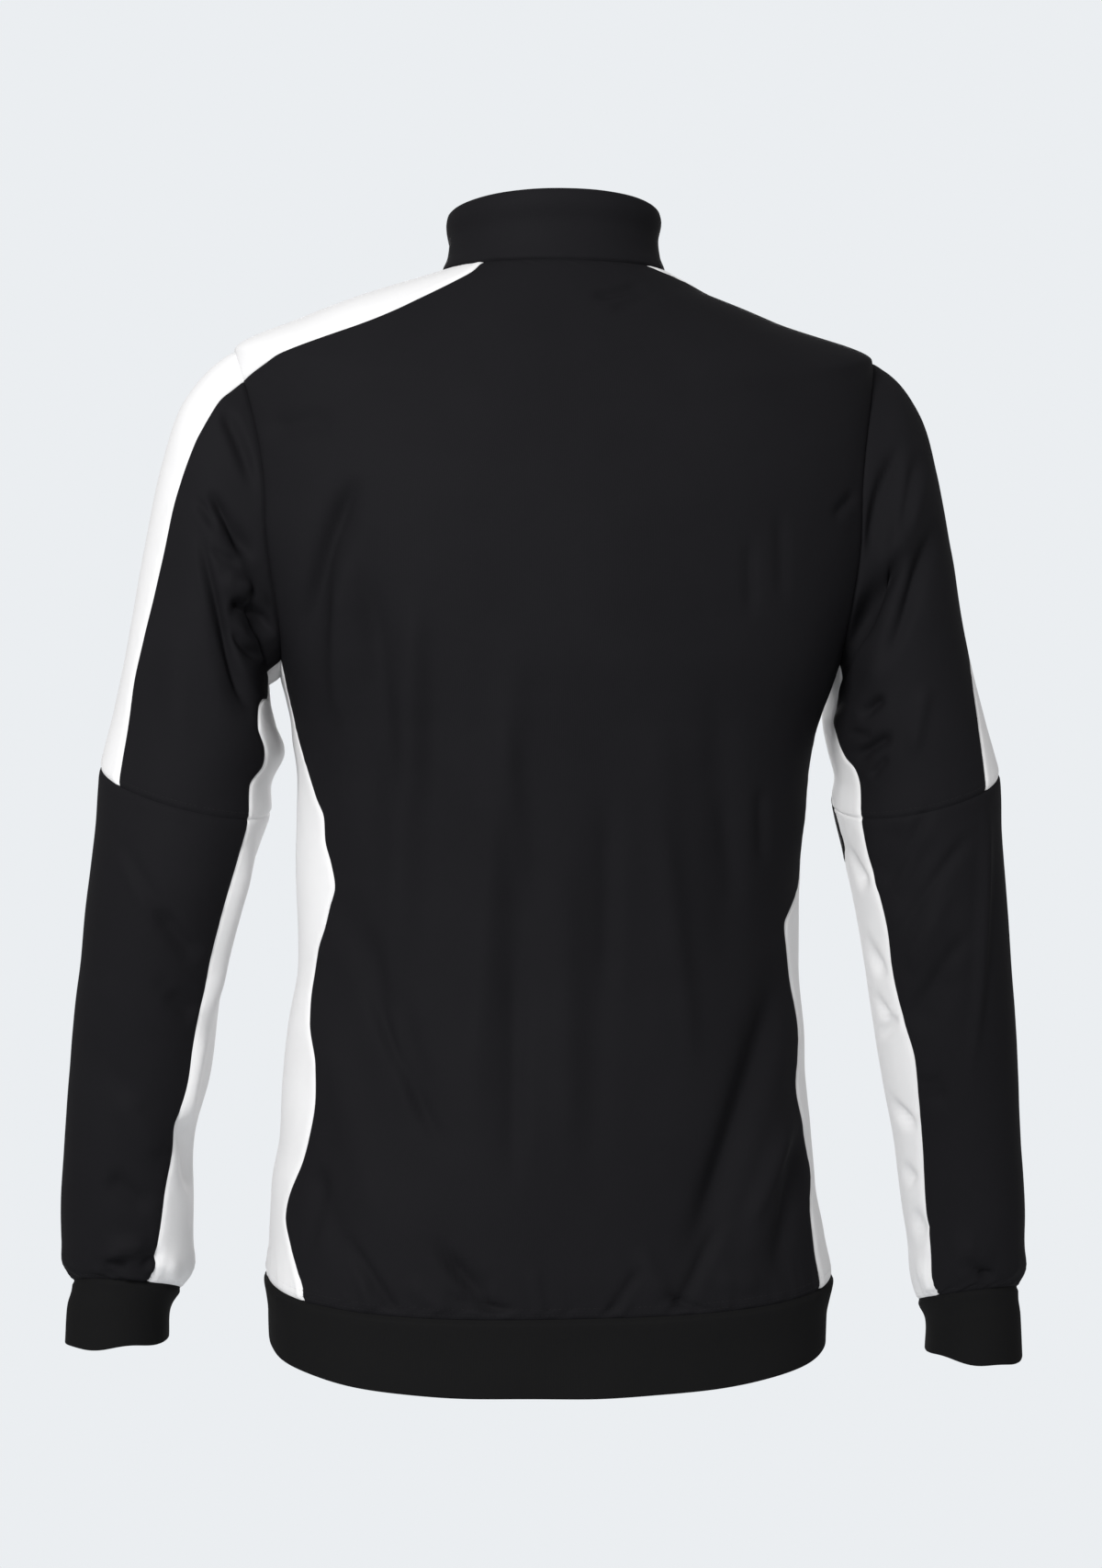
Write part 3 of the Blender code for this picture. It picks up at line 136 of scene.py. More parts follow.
# Stage, light and camera
FLOOR_LEVEL = -1.45
FLOOR_RADIUS = 1.3
BACKDROP = (0.83, 0.855, 0.88, 1.0)
FILL = (0.5, 0.497, 0.5, 1.0)    # the room's light on the cloth
CAMERA_AZIMUTH = 173.0
CAMERA_DISTANCE = 2.0
CAMERA_HEIGHT = -0.3256
CAMERA_SENSOR = 36.0         # mm
HEIGHT_IN_VIEW = 1707 / 17 / 100    # metres, at the jacket
CAMERA_LENS = CAMERA_SENSOR * CAMERA_DISTANCE / HEIGHT_IN_VIEW
LIGHTS = [
    ("behind_left", (1.1, 1.95, 0.6), (0.0, 0.0, -0.3), (0.6, 0.6), 54.0),
    ("right_side", (-2.1, 1.1, 0.3), (0.0, 0.0, -0.35), (0.8, 1.2), 4.0),
    ("in_front", (-0.3, -2.2, 0.1), (0.0, 0.0, -0.3), (1.2, 1.2), 30.0),
]

# Levels on the torso, cm: the height of each cut round at the side seam
HEM_BOTTOM = -68.0
HEM_SEAM = -63.8
NECK_SEAM = 0.0

# level, half width, depth behind, depth in front, drop behind, drop in front, middle, squareness
TORSO_ROUNDS = [
    (-69.5, 17.7, 11.7, 11.3, -2.2, 0.2, -1.0, 2.6),
    (-66.3, 17.7, 11.7, 11.3, -1.5, 0.2, -1.0, 2.7),
    (-63.8, 18.0, 11.9, 11.5, -1.2, 0.2, -1.0, 2.7),
    (-61.5, 17.7, 12.1, 11.6, -0.9, 0.2, -1.0, 2.6),
    (-56.0, 17.3, 11.9, 11.5, -0.4, 0.1, -1.0, 2.4),
    (-50.0, 16.75, 11.3, 11.3, 0.0, 0.0, -1.0, 2.3),
    (-44.0, 16.1, 10.8, 11.2, 0.0, 0.0, -1.0, 2.3),
    (-38.0, 16.05, 11.0, 11.5, 0.0, 0.0, -1.0, 2.3),
    (-32.0, 16.5, 11.6, 12.1, 0.0, 0.0, -1.0, 2.3),
    (-29.4, 16.95, 11.9, 12.3, 0.0, 0.0, -1.0, 2.3),
    (-27.5, 17.4, 12.1, 12.4, 0.0, -0.1, -0.9, 2.3),
    (-24.4, 18.2, 12.4, 12.4, -0.1, -0.3, -0.8, 2.3),
    (-15.5, 20.6, 12.2, 11.9, -0.6, -2.0, -0.5, 2.3),
    (-5.2, 20.2, 10.6, 10.2, -2.9, -7.4, -0.2, 2.25),
    (-2.9, 15.6, 9.3, 9.2, -1.5, -7.1, 0.0, 2.2),
    (-1.5, 12.0, 8.3, 8.1, -0.7, -6.6, 0.1, 2.15),
    (0.0, 7.15, 6.9, 6.1, -0.1, -5.8, 0.3, 2.1),
]
TORSO_DROP_EASE = 1.7        # how soon a round drops from the side towards its middle

# level, how much further out the left side and the right side lie than the half width
TORSO_SIDES = [
    (-69.5, 0.0, -0.2),
    (-66.3, 0.15, -0.15),
    (-63.8, 0.1, 0.0),
    (-61.0, 0.25, -0.1),
    (-58.0, 0.35, -0.4),
    (-55.0, 0.05, -0.4),
    (-51.5, 0.2, -0.4),
    (-47.8, 0.25, -0.1),
    (-44.0, 0.0, 0.0),
    (-37.5, 0.2, 0.1),
    (-34.5, -0.05, 0.25),
    (-31.8, -0.35, 0.2),
    (-30.0, -0.4, 0.2),
    (-28.1, -0.6, 0.3),
    (-26.5, -0.6, 0.5),
    (-24.4, -0.5, 0.65),
    (-19.5, -0.1, 0.7),
    (-15.5, 0.0, 0.65),
    (-5.2, 0.0, 0.6),
    (-2.9, -0.05, -1.4),
    (-1.5, -0.1, -1.6),
    (-0.6, -0.15, -0.5),
    (0.0, -0.2, 0.2),
]
COLLAR_LEAN = -0.2

# level, where the side panel's back seam runs on the left and the right, degrees from the middle
SIDE_SEAM_BEHIND = [
    (-70.0, 60.0, 57.0),
    (-63.8, 55.5, 57.5),
    (-61.0, 63.5, 59.0),
    (-59.3, 68.0, 61.0),
    (-57.0, 64.5, 66.5),
    (-54.5, 61.5, 64.0),
    (-51.9, 59.5, 62.0),
    (-50.0, 60.0, 64.5),
    (-47.3, 66.0, 66.0),
    (-45.2, 68.5, 64.0),
    (-43.0, 66.0, 60.5),
    (-41.5, 62.0, 59.0),
    (-40.2, 59.5, 65.0),
    (-38.9, 57.0, 73.0),
    (-37.5, 58.5, 76.5),
    (-36.0, 61.5, 77.0),
    (-34.6, 62.5, 77.0),
    (-33.4, 67.0, 77.0),
    (-31.4, 74.0, 78.0),
    (-30.0, 77.0, 78.0),
    (-28.1, 81.5, 79.0),
    (-26.5, 81.0, 79.0),
    (-24.4, 77.0, 79.0),
]
SIDE_SEAM_IN_FRONT = [
    (-70.0, 113.0, 113.0),
    (-60.0, 111.0, 112.0),
    (-50.0, 114.0, 113.0),
    (-38.0, 113.0, 111.0),
    (-24.4, 103.0, 103.0),
]
SHOULDER_SEAM_BEHIND = [
    (-7.2, 73.0, 88.0),
    (-6.5, 67.0, 90.0),
    (-5.7, 61.3, 92.0),
    (-4.8, 56.5, 93.0),
    (-3.96, 52.2, 93.0),
    (-2.25, 42.5, 92.0),
    (-0.7, 38.5, 62.0),
    (0.0, 43.5, 46.0),
]
SHOULDER_SEAM_IN_FRONT = [
    (-6.1, 104.0, 110.0),
    (-2.9, 115.0, 124.0),
    (-1.5, 124.0, 134.0),
    (0.0, 138.0, 146.0),
]

# Armhole: an oval on the torso's own angle and level
ARMHOLE_MIDDLE = -15.5
ARMHOLE_HALF_HEIGHT = 10.3
ARMHOLE_HALF_ANGLE_BEHIND = 30.0
ARMHOLE_HALF_ANGLE_IN_FRONT = 29.0

# Sleeve cuts, left arm: place along it, outer x and z, inner x and z, half depth, middle y,
# drop behind, squareness. Place 0 is the armhole, 1 the elbow seam, 2 the cuff seam.
SLEEVE_CUTS = [
    (0.07, 21.6, -6.15, 18.0, -26.3, 6.5, -0.7, 0.0, 2.1),
    (0.16, 23.2, -8.1, 17.95, -26.7, 6.8, -0.8, 0.0, 2.1),
    (0.32, 24.7, -12.2, 17.85, -27.6, 7.0, -0.9, -0.2, 2.1),
    (0.52, 25.8, -17.4, 17.55, -28.8, 6.9, -0.9, -0.4, 2.1),
    (0.75, 26.95, -24.0, 17.05, -30.8, 6.5, -0.6, -0.7, 2.1),
    (0.88, 27.75, -27.9, 17.8, -32.4, 6.35, -0.35, -0.85, 2.1),
    (1.00, 28.6, -31.5, 17.9, -34.2, 6.2, 0.0, -1.3, 2.1),
    (1.13, 28.9, -35.2, 18.8, -36.9, 6.1, 0.2, -0.9, 2.1),
    (1.30, 29.5, -40.5, 20.05, -40.9, 5.7, 0.2, -0.6, 2.1),
    (1.40, 29.8, -43.7, 20.8, -43.8, 5.5, -0.1, -0.4, 2.1),
    (1.50, 30.2, -47.0, 21.2, -46.9, 5.4, -0.6, -0.3, 2.1),
    (1.63, 30.6, -51.3, 21.7, -51.1, 5.2, -1.5, -0.1, 2.1),
    (1.75, 30.9, -55.3, 22.65, -55.0, 5.1, -2.4, 0.0, 2.1),
    (1.88, 31.15, -59.9, 22.7, -59.5, 4.9, -3.5, 0.0, 2.1),
    (1.93, 31.1, -62.0, 22.7, -62.0, 4.85, -4.0, 0.3, 2.1),
    (1.96, 31.1, -63.2, 22.6, -63.6, 4.8, -4.3, 0.6, 2.1),
    (2.00, 30.4, -64.5, 23.5, -65.1, 4.2, -4.5, 0.9, 2.1),
    (2.06, 30.7, -66.1, 24.2, -66.3, 4.2, -4.8, 0.5, 2.1),
    (2.14, 30.85, -68.4, 24.35, -68.3, 4.3, -5.1, 0.0, 2.1),
]
# place along the right sleeve, how much further out its outer and inner lines run, extra drop
RIGHT_SLEEVE_SET = [
    (0.0, 0.8, 0.5, 0.0),
    (0.16, 0.6, 0.5, 0.0),
    (0.32, 0.4, 0.55, 0.0),
    (0.52, 0.35, 0.6, 0.0),
    (0.65, 0.3, 0.7, 0.0),
    (0.75, 0.3, 1.4, 0.0),
    (0.86, 0.45, 1.05, 0.0),
    (1.0, 0.55, 0.65, 0.0),
    (1.15, 0.35, 0.3, -0.1),
    (1.3, 0.2, 0.0, -0.3),
    (1.4, 0.2, -0.15, -0.4),
    (1.5, 0.2, 0.05, -0.5),
    (1.65, 0.35, 0.5, -0.8),
    (1.75, 0.4, 0.5, -0.9),
    (1.88, 0.75, 1.3, -1.1),
    (1.93, 0.9, 1.8, -1.2),
    (1.96, 1.1, 2.1, -1.45),
    (2.0, 1.3, 1.8, -1.65),
    (2.06, 1.2, 1.75, -1.9),
    (2.14, 1.25, 1.65, -2.2),
]
ELBOW = 1.0
WRIST = 2.0
CUFF_END = 2.14

# place along the sleeve, the seam's turn from the outer line on the left arm and the right arm
STRIPE_EDGE_BEHIND = [
    (0.0, 35.0, 3.0),
    (0.05, 41.0, 3.0),
    (0.12, 45.5, 3.0),
    (0.2, 46.0, 4.0),
    (0.3, 44.0, 4.0),
    (0.45, 42.5, 5.0),
    (0.6, 38.5, 6.0),
    (0.7, 34.0, 10.0),
    (0.78, 32.0, 30.0),
    (0.87, 35.5, 41.0),
    (1.0, 40.0, 50.0),
]
STRIPE_EDGE_IN_FRONT = [
    (0.0, -28.0, -36.0),
    (0.4, -26.0, -44.0),
    (1.0, -30.0, -26.0),
]
UNDERARM_EDGE_BEHIND = [
    (0.0, 155.0, 156.0),
    (0.1, 156.5, 161.0),
    (0.25, 157.0, 167.0),
    (0.34, 154.0, 168.5),
    (0.47, 140.0, 168.5),
    (0.58, 132.5, 165.0),
    (0.68, 128.5, 162.0),
    (0.75, 136.0, 158.0),
    (0.82, 141.0, 150.5),
    (0.9, 134.5, 148.0),
    (1.0, 135.5, 145.5),
    (1.14, 138.0, 147.0),
    (1.31, 139.0, 142.0),
    (1.4, 139.5, 143.5),
    (1.5, 135.0, 139.0),
    (1.58, 131.5, 133.5),
    (1.66, 131.0, 136.0),
    (1.76, 131.5, 140.5),
    (1.85, 124.0, 143.0),
    (1.9, 120.0, 144.5),
    (1.95, 114.5, 146.0),
    (2.0, 112.0, 144.0),
]
UNDERARM_EDGE_IN_FRONT = [
    (0.0, 205.0, 205.0),
    (0.5, 214.0, 213.0),
    (0.9, 216.0, 213.0),
    (0.98, 216.0, 196.0),
    (1.02, 216.0, 180.0),
    (1.1, 217.0, 178.0),
    (1.18, 218.0, 196.0),
    (1.28, 219.0, 217.0),
    (1.6, 222.0, 222.0),
    (2.0, 226.0, 222.0),
]

# Collar: share of its height, half width, depth behind, depth in front, middle, squareness
COLLAR_CUTS = [
    (0.0, 7.1, 6.9, 6.1, 0.3, 2.1),
    (0.25, 6.75, 6.6, 5.9, 0.35, 2.1),
    (0.5, 6.65, 6.5, 5.8, 0.4, 2.1),
    (0.8, 6.85, 6.75, 5.9, 0.45, 2.1),
    (0.93, 6.75, 6.7, 5.8, 0.45, 2.1),
    (1.0, 6.5, 6.45, 5.55, 0.45, 2.1),
]
COLLAR_TOP_SIDE = 3.9
COLLAR_TOP_BEHIND = 4.35
COLLAR_TOP_IN_FRONT = -0.4
COLLAR_TOP_EASE = 1.6        # how late the top edge turns down towards the front
COLLAR_LIFT = 0.12           # cm, the collar's edge above the neck seam

# Folds: three points of each line (x, z), half width, height (cm; below zero is a trough)
FOLDS_BEHIND = [
    (12.2, -12.6, 14.8, -17.0, 15.7, -26.5, 1.3, -0.62),
    (13.4, -16.0, 13.2, -21.0, 13.0, -29.0, 1.2, 0.28),
    (11.0, -18.0, 11.4, -27.0, 11.8, -38.0, 1.3, -0.30),
    (8.8, -18.5, 9.5, -32.0, 10.2, -47.0, 1.2, 0.30),
    (7.2, -21.0, 7.4, -33.0, 7.8, -48.0, 1.4, -0.26),
    (2.0, -22.0, 4.0, -36.0, 5.6, -60.0, 1.4, 0.38),
    (1.6, -34.0, 2.2, -46.0, 2.9, -61.0, 1.4, -0.26),
    (-0.6, -36.0, -1.0, -46.0, -1.2, -60.0, 1.3, 0.20),
    (-3.4, -28.0, -3.4, -42.0, -2.4, -61.0, 1.4, -0.22),
    (-6.8, -26.0, -7.2, -38.0, -7.6, -52.0, 1.5, 0.20),
    (-10.6, -24.0, -11.0, -34.0, -11.4, -47.0, 1.3, -0.22),
    (14.0, -39.0, 10.2, -46.0, 6.9, -56.5, 1.3, -0.40),
    (15.2, -47.0, 13.0, -54.0, 9.8, -64.0, 1.5, 0.36),
    (15.8, -56.0, 14.2, -60.0, 12.6, -64.2, 1.0, -0.30),
    (-14.8, -43.5, -13.2, -52.0, -8.4, -65.0, 1.3, -0.58),
    (-15.6, -52.5, -14.6, -58.0, -12.0, -64.5, 1.1, 0.34),
    (6.8, -62.6, 5.2, -64.6, 3.6, -65.2, 0.9, -0.36),
    (-5.6, -62.0, -6.6, -64.5, -7.4, -65.6, 0.8, 0.26),
    (18.6, -9.6, 16.0, -10.0, 13.6, -9.2, 1.0, -0.16),
]
FOLDS_IN_FRONT = [
    (12.4, -14.0, 14.4, -20.0, 15.4, -28.0, 1.3, -0.50),
    (9.6, -20.0, 10.2, -32.0, 10.6, -46.0, 1.4, 0.30),
    (6.0, -24.0, 6.6, -38.0, 6.6, -54.0, 1.4, -0.26),
    (3.2, -30.0, 3.0, -44.0, 3.2, -60.0, 1.3, 0.22),
    (-3.0, -26.0, -3.4, -42.0, -3.0, -60.0, 1.4, 0.22),
    (-6.4, -22.0, -6.8, -36.0, -6.2, -52.0, 1.4, -0.26),
    (-10.2, -22.0, -10.6, -34.0, -11.0, -48.0, 1.3, 0.28),
    (-12.6, -15.0, -14.2, -20.0, -15.0, -27.0, 1.3, -0.44),
    (14.6, -44.0, 12.2, -53.0, 8.4, -63.6, 1.3, -0.44),
    (-14.6, -42.0, -12.0, -52.0, -8.8, -63.6, 1.3, -0.46),
    (-15.0, -54.0, -13.6, -59.0, -11.6, -63.4, 1.1, 0.30),
    (15.2, -55.0, 13.8, -59.0, 12.0, -63.4, 1.1, 0.28),
]
SLEEVE_FOLDS_BEHIND = [
    (22.2, -13.6, 20.4, -15.8, 19.2, -18.6, 0.9, -0.42),
    (20.8, -21.0, 19.3, -21.4, 17.9, -23.4, 0.9, -0.50),
    (20.9, -21.6, 19.8, -23.8, 18.4, -24.8, 0.8, -0.34),
    (21.2, -19.2, 20.2, -20.2, 19.0, -20.2, 0.9, 0.30),
    (21.6, -19.0, 21.0, -24.5, 19.0, -29.2, 1.0, -0.40),
    (24.6, -22.0, 24.0, -26.0, 23.6, -31.0, 1.2, 0.18),
    (25.4, -40.4, 24.0, -42.8, 22.2, -43.8, 1.0, -0.36),
    (24.6, -45.8, 23.6, -47.0, 22.6, -47.4, 0.9, -0.24),
    (27.6, -51.8, 26.0, -54.6, 24.8, -56.6, 1.1, 0.30),
    (28.6, -57.6, 27.2, -58.8, 25.4, -59.8, 1.0, -0.34),
    (28.8, -62.6, 27.4, -61.8, 25.6, -62.4, 0.8, 0.32),
    (-22.8, -17.8, -20.6, -20.4, -19.0, -24.2, 1.1, -0.72),
    (-24.6, -15.6, -23.2, -21.0, -20.8, -25.6, 1.2, -0.38),
    (-23.2, -20.6, -21.4, -24.2, -20.2, -27.0, 1.1, 0.34),
    (-22.6, -10.6, -21.2, -14.6, -20.2, -18.6, 1.2, -0.34),
    (-24.0, -12.0, -22.8, -16.4, -21.6, -18.4, 0.9, 0.26),
    (-22.0, -29.4, -20.4, -30.2, -19.2, -31.4, 0.7, -0.26),
    (-21.4, -27.0, -20.4, -27.8, -19.6, -28.2, 0.7, -0.24),
    (-22.4, -34.8, -21.6, -37.0, -20.6, -39.2, 1.0, -0.30),
    (-24.6, -35.4, -23.4, -38.6, -21.8, -41.4, 1.1, -0.34),
    (-25.4, -40.4, -24.0, -43.0, -22.8, -44.6, 0.9, 0.26),
    (-25.8, -44.2, -24.6, -46.8, -23.0, -48.4, 1.0, -0.34),
    (-25.6, -52.4, -24.6, -52.6, -23.6, -52.4, 0.8, -0.24),
    (-27.4, -62.6, -26.4, -61.6, -25.2, -62.2, 0.8, 0.30),
]
SLEEVE_FOLDS_IN_FRONT = [
    (22.6, -14.0, 21.0, -17.4, 19.6, -22.4, 1.1, -0.50),
    (24.4, -16.4, 23.0, -21.6, 21.0, -26.6, 1.2, 0.30),
    (24.6, -27.2, 22.4, -28.6, 20.0, -29.6, 1.0, -0.42),
    (25.6, -32.2, 23.2, -33.6, 20.4, -33.2, 1.0, -0.46),
    (25.4, -35.0, 23.4, -36.8, 21.4, -36.8, 1.0, 0.30),
    (27.0, -45.0, 25.6, -47.6, 23.8, -49.4, 1.1, -0.30),
    (28.6, -57.8, 27.2, -58.8, 25.4, -58.8, 0.9, -0.30),
    (-22.6, -13.6, -21.0, -17.0, -19.8, -21.6, 1.1, -0.46),
    (-24.6, -17.0, -23.0, -22.0, -21.2, -26.2, 1.2, 0.30),
    (-24.8, -28.0, -22.6, -29.0, -20.2, -29.0, 1.0, -0.40),
    (-25.6, -32.6, -23.4, -33.8, -20.6, -34.0, 1.0, -0.46),
    (-27.0, -43.6, -25.4, -46.6, -23.4, -48.0, 1.1, -0.32),
    (-28.4, -58.4, -27.0, -59.2, -25.2, -58.8, 0.9, -0.30),
]
FOLD_STEPS = 9               # straight steps that a fold's line is read by
FOLD_FLANK = 0.55            # how far the cloth turns back beside a fold
FOLD_FACING = 0.28           # share of the cloth's facing at which a fold is whole
# The folds behind are laid out as someone standing there sees them
VIEW_TURN = 7.0              # degrees, how far round to the wearer's left
VIEW_DISTANCE = 200.0        # cm
VIEW_LEVEL = -32.56          # cm, the height of the eye

# Where the folds die out
HEM_CALM = 0.6               # cm above the hem's seam
ZIP_CALM = (0.015, 0.035)    # metres from the middle in front
ARMHOLE_CALM = 0.04          # of the place along the sleeve
WRIST_CALM = 0.02

# How far from the armhole, in cm, a seam is eased to its corner
UNDERARM_EASE = 8.0
SHOULDER_EASE = 4.0

# Lowest places along the sleeve at which its folds and its outward direction are read, and
# the place at which its direction beside the armhole is read
FOLDED_FROM = 0.004
OUTWARD_FROM = 0.02
ARMHOLE_SIDE = 0.03

# Steps along and up a surface at which its outward direction is read
TORSO_FOLD_STEPS = (0.5, 0.1)
SLEEVE_FOLD_STEPS = (0.5, 0.003)
TORSO_STEPS = (1.0, 0.3)
COLLAR_STEPS = (1.0, 0.03)
SLEEVE_STEPS = (1.0, 0.01)
ARMHOLE_STEPS = (1.0, 0.02)

# Fine creases in the same form as the folds; only the finished cloth has them
CREASES_BEHIND = [
    (12.0, -12.5, 14.5, -15.6, 15.9, -23.5, 0.55, -0.20),
    (13.6, -17.4, 14.0, -24.0, 13.2, -30.0, 0.7, 0.16),
    (12.2, -18.0, 11.0, -24.0, 9.6, -35.0, 0.8, -0.12),
    (8.9, -19.0, 8.6, -27.0, 8.8, -35.2, 0.9, 0.12),
    (3.4, -27.0, 2.2, -34.0, 1.6, -41.0, 0.9, 0.10),
    (12.0, -44.6, 9.8, -51.2, 6.2, -57.0, 0.5, -0.17),
    (10.6, -41.0, 10.2, -49.0, 8.6, -55.0, 0.7, 0.12),
    (2.3, -42.0, 2.2, -51.0, 2.4, -59.6, 0.8, -0.12),
    (-3.8, -32.4, -3.8, -40.0, -3.6, -47.0, 0.8, -0.12),
    (-6.6, -32.6, -8.2, -42.0, -9.2, -52.8, 0.9, 0.12),
    (-11.0, -32.8, -11.6, -37.0, -12.0, -41.0, 0.7, -0.10),
    (-18.0, -15.6, -18.8, -14.6, -19.6, -13.8, 0.35, -0.16),
    (18.6, -10.2, 16.6, -9.4, 13.6, -8.6, 0.9, -0.07),
    (-12.7, -16.5, -12.8, -19.0, -12.8, -22.4, 0.5, -0.12),
    (-14.6, -14.2, -14.8, -18.0, -14.8, -21.2, 0.5, -0.11),
    (-13.5, -32.4, -13.4, -35.0, -13.6, -38.2, 0.5, -0.12),
    (-15.0, -42.7, -13.4, -52.0, -8.4, -64.4, 1.1, -0.20),
    (-15.8, -53.8, -15.2, -59.0, -14.4, -65.6, 0.8, -0.20),
    (-15.5, -53.6, -13.6, -58.0, -12.3, -61.6, 0.6, 0.20),
    (13.4, -61.2, 11.2, -64.6, 9.4, -67.4, 0.5, -0.20),
    (12.4, -64.0, 11.6, -65.8, 11.2, -67.6, 0.4, 0.12),
    (7.6, -61.4, 6.2, -64.0, 2.8, -67.2, 0.5, -0.22),
    (7.0, -65.0, 4.8, -66.4, 1.8, -66.2, 0.35, -0.18),
    (9.4, -64.2, 7.8, -65.6, 6.2, -66.6, 0.7, 0.14),
    (1.2, -63.2, 0.8, -65.2, 0.5, -67.8, 0.4, 0.10),
    (-6.0, -63.2, -4.6, -65.2, -3.2, -67.4, 0.35, -0.16),
    (-7.6, -67.4, -9.0, -64.4, -11.6, -59.6, 0.5, -0.18),
    (-7.2, -64.8, -8.6, -66.4, -11.2, -66.6, 0.35, -0.18),
    (-10.4, -63.8, -12.0, -65.0, -13.6, -64.2, 0.7, 0.14),
    (-2.4, -1.3, -4.4, -1.3, -6.2, -0.3, 0.35, -0.16),
    (-3.6, -2.2, -5.2, -1.9, -6.8, -0.7, 0.35, -0.12),
    (14.6, -56.6, 15.2, -59.6, 15.6, -63.4, 0.6, -0.16),
]
CREASES_IN_FRONT = [
    (13.4, -15.0, 14.8, -19.0, 15.6, -26.0, 0.7, -0.20),
    (16.4, -12.4, 14.4, -12.8, 12.2, -11.4, 0.8, -0.14),
    (11.4, -19.0, 10.6, -26.0, 9.0, -36.0, 0.8, -0.12),
    (4.4, -8.0, 5.8, -16.0, 5.6, -26.0, 1.2, 0.12),
    (3.0, -24.0, 3.4, -34.0, 2.8, -46.0, 0.8, -0.12),
    (8.6, -38.0, 8.0, -48.0, 6.0, -58.0, 0.8, 0.14),
    (13.6, -46.0, 11.4, -55.0, 8.0, -62.0, 0.6, -0.22),
    (14.4, -55.6, 13.8, -60.0, 13.0, -63.4, 0.5, -0.18),
    (9.4, -60.6, 9.2, -62.4, 9.4, -63.6, 0.5, 0.15),
    (6.2, -60.4, 6.0, -62.2, 6.2, -63.6, 0.5, -0.16),
    (3.4, -60.8, 3.2, -62.4, 3.3, -63.6, 0.5, 0.14),
    (-13.0, -14.4, -14.8, -19.0, -15.4, -25.0, 0.7, -0.20),
    (-16.6, -12.0, -14.2, -12.6, -12.4, -11.8, 0.8, -0.14),
    (-11.2, -18.0, -10.4, -27.0, -9.4, -37.0, 0.8, -0.13),
    (-4.6, -8.4, -5.6, -16.0, -5.8, -25.0, 1.2, 0.11),
    (-3.2, -30.0, -3.4, -40.0, -2.6, -52.0, 0.8, -0.12),
    (-8.4, -36.0, -8.2, -46.0, -6.4, -57.0, 0.8, 0.13),
    (-13.8, -44.0, -11.6, -54.0, -8.2, -62.4, 0.6, -0.24),
    (-15.2, -53.0, -14.0, -59.0, -13.4, -63.4, 0.5, -0.18),
    (-10.0, -60.4, -9.8, -62.4, -9.9, -63.6, 0.5, -0.16),
    (-5.2, -60.8, -5.2, -62.4, -5.4, -63.6, 0.5, 0.15),
]
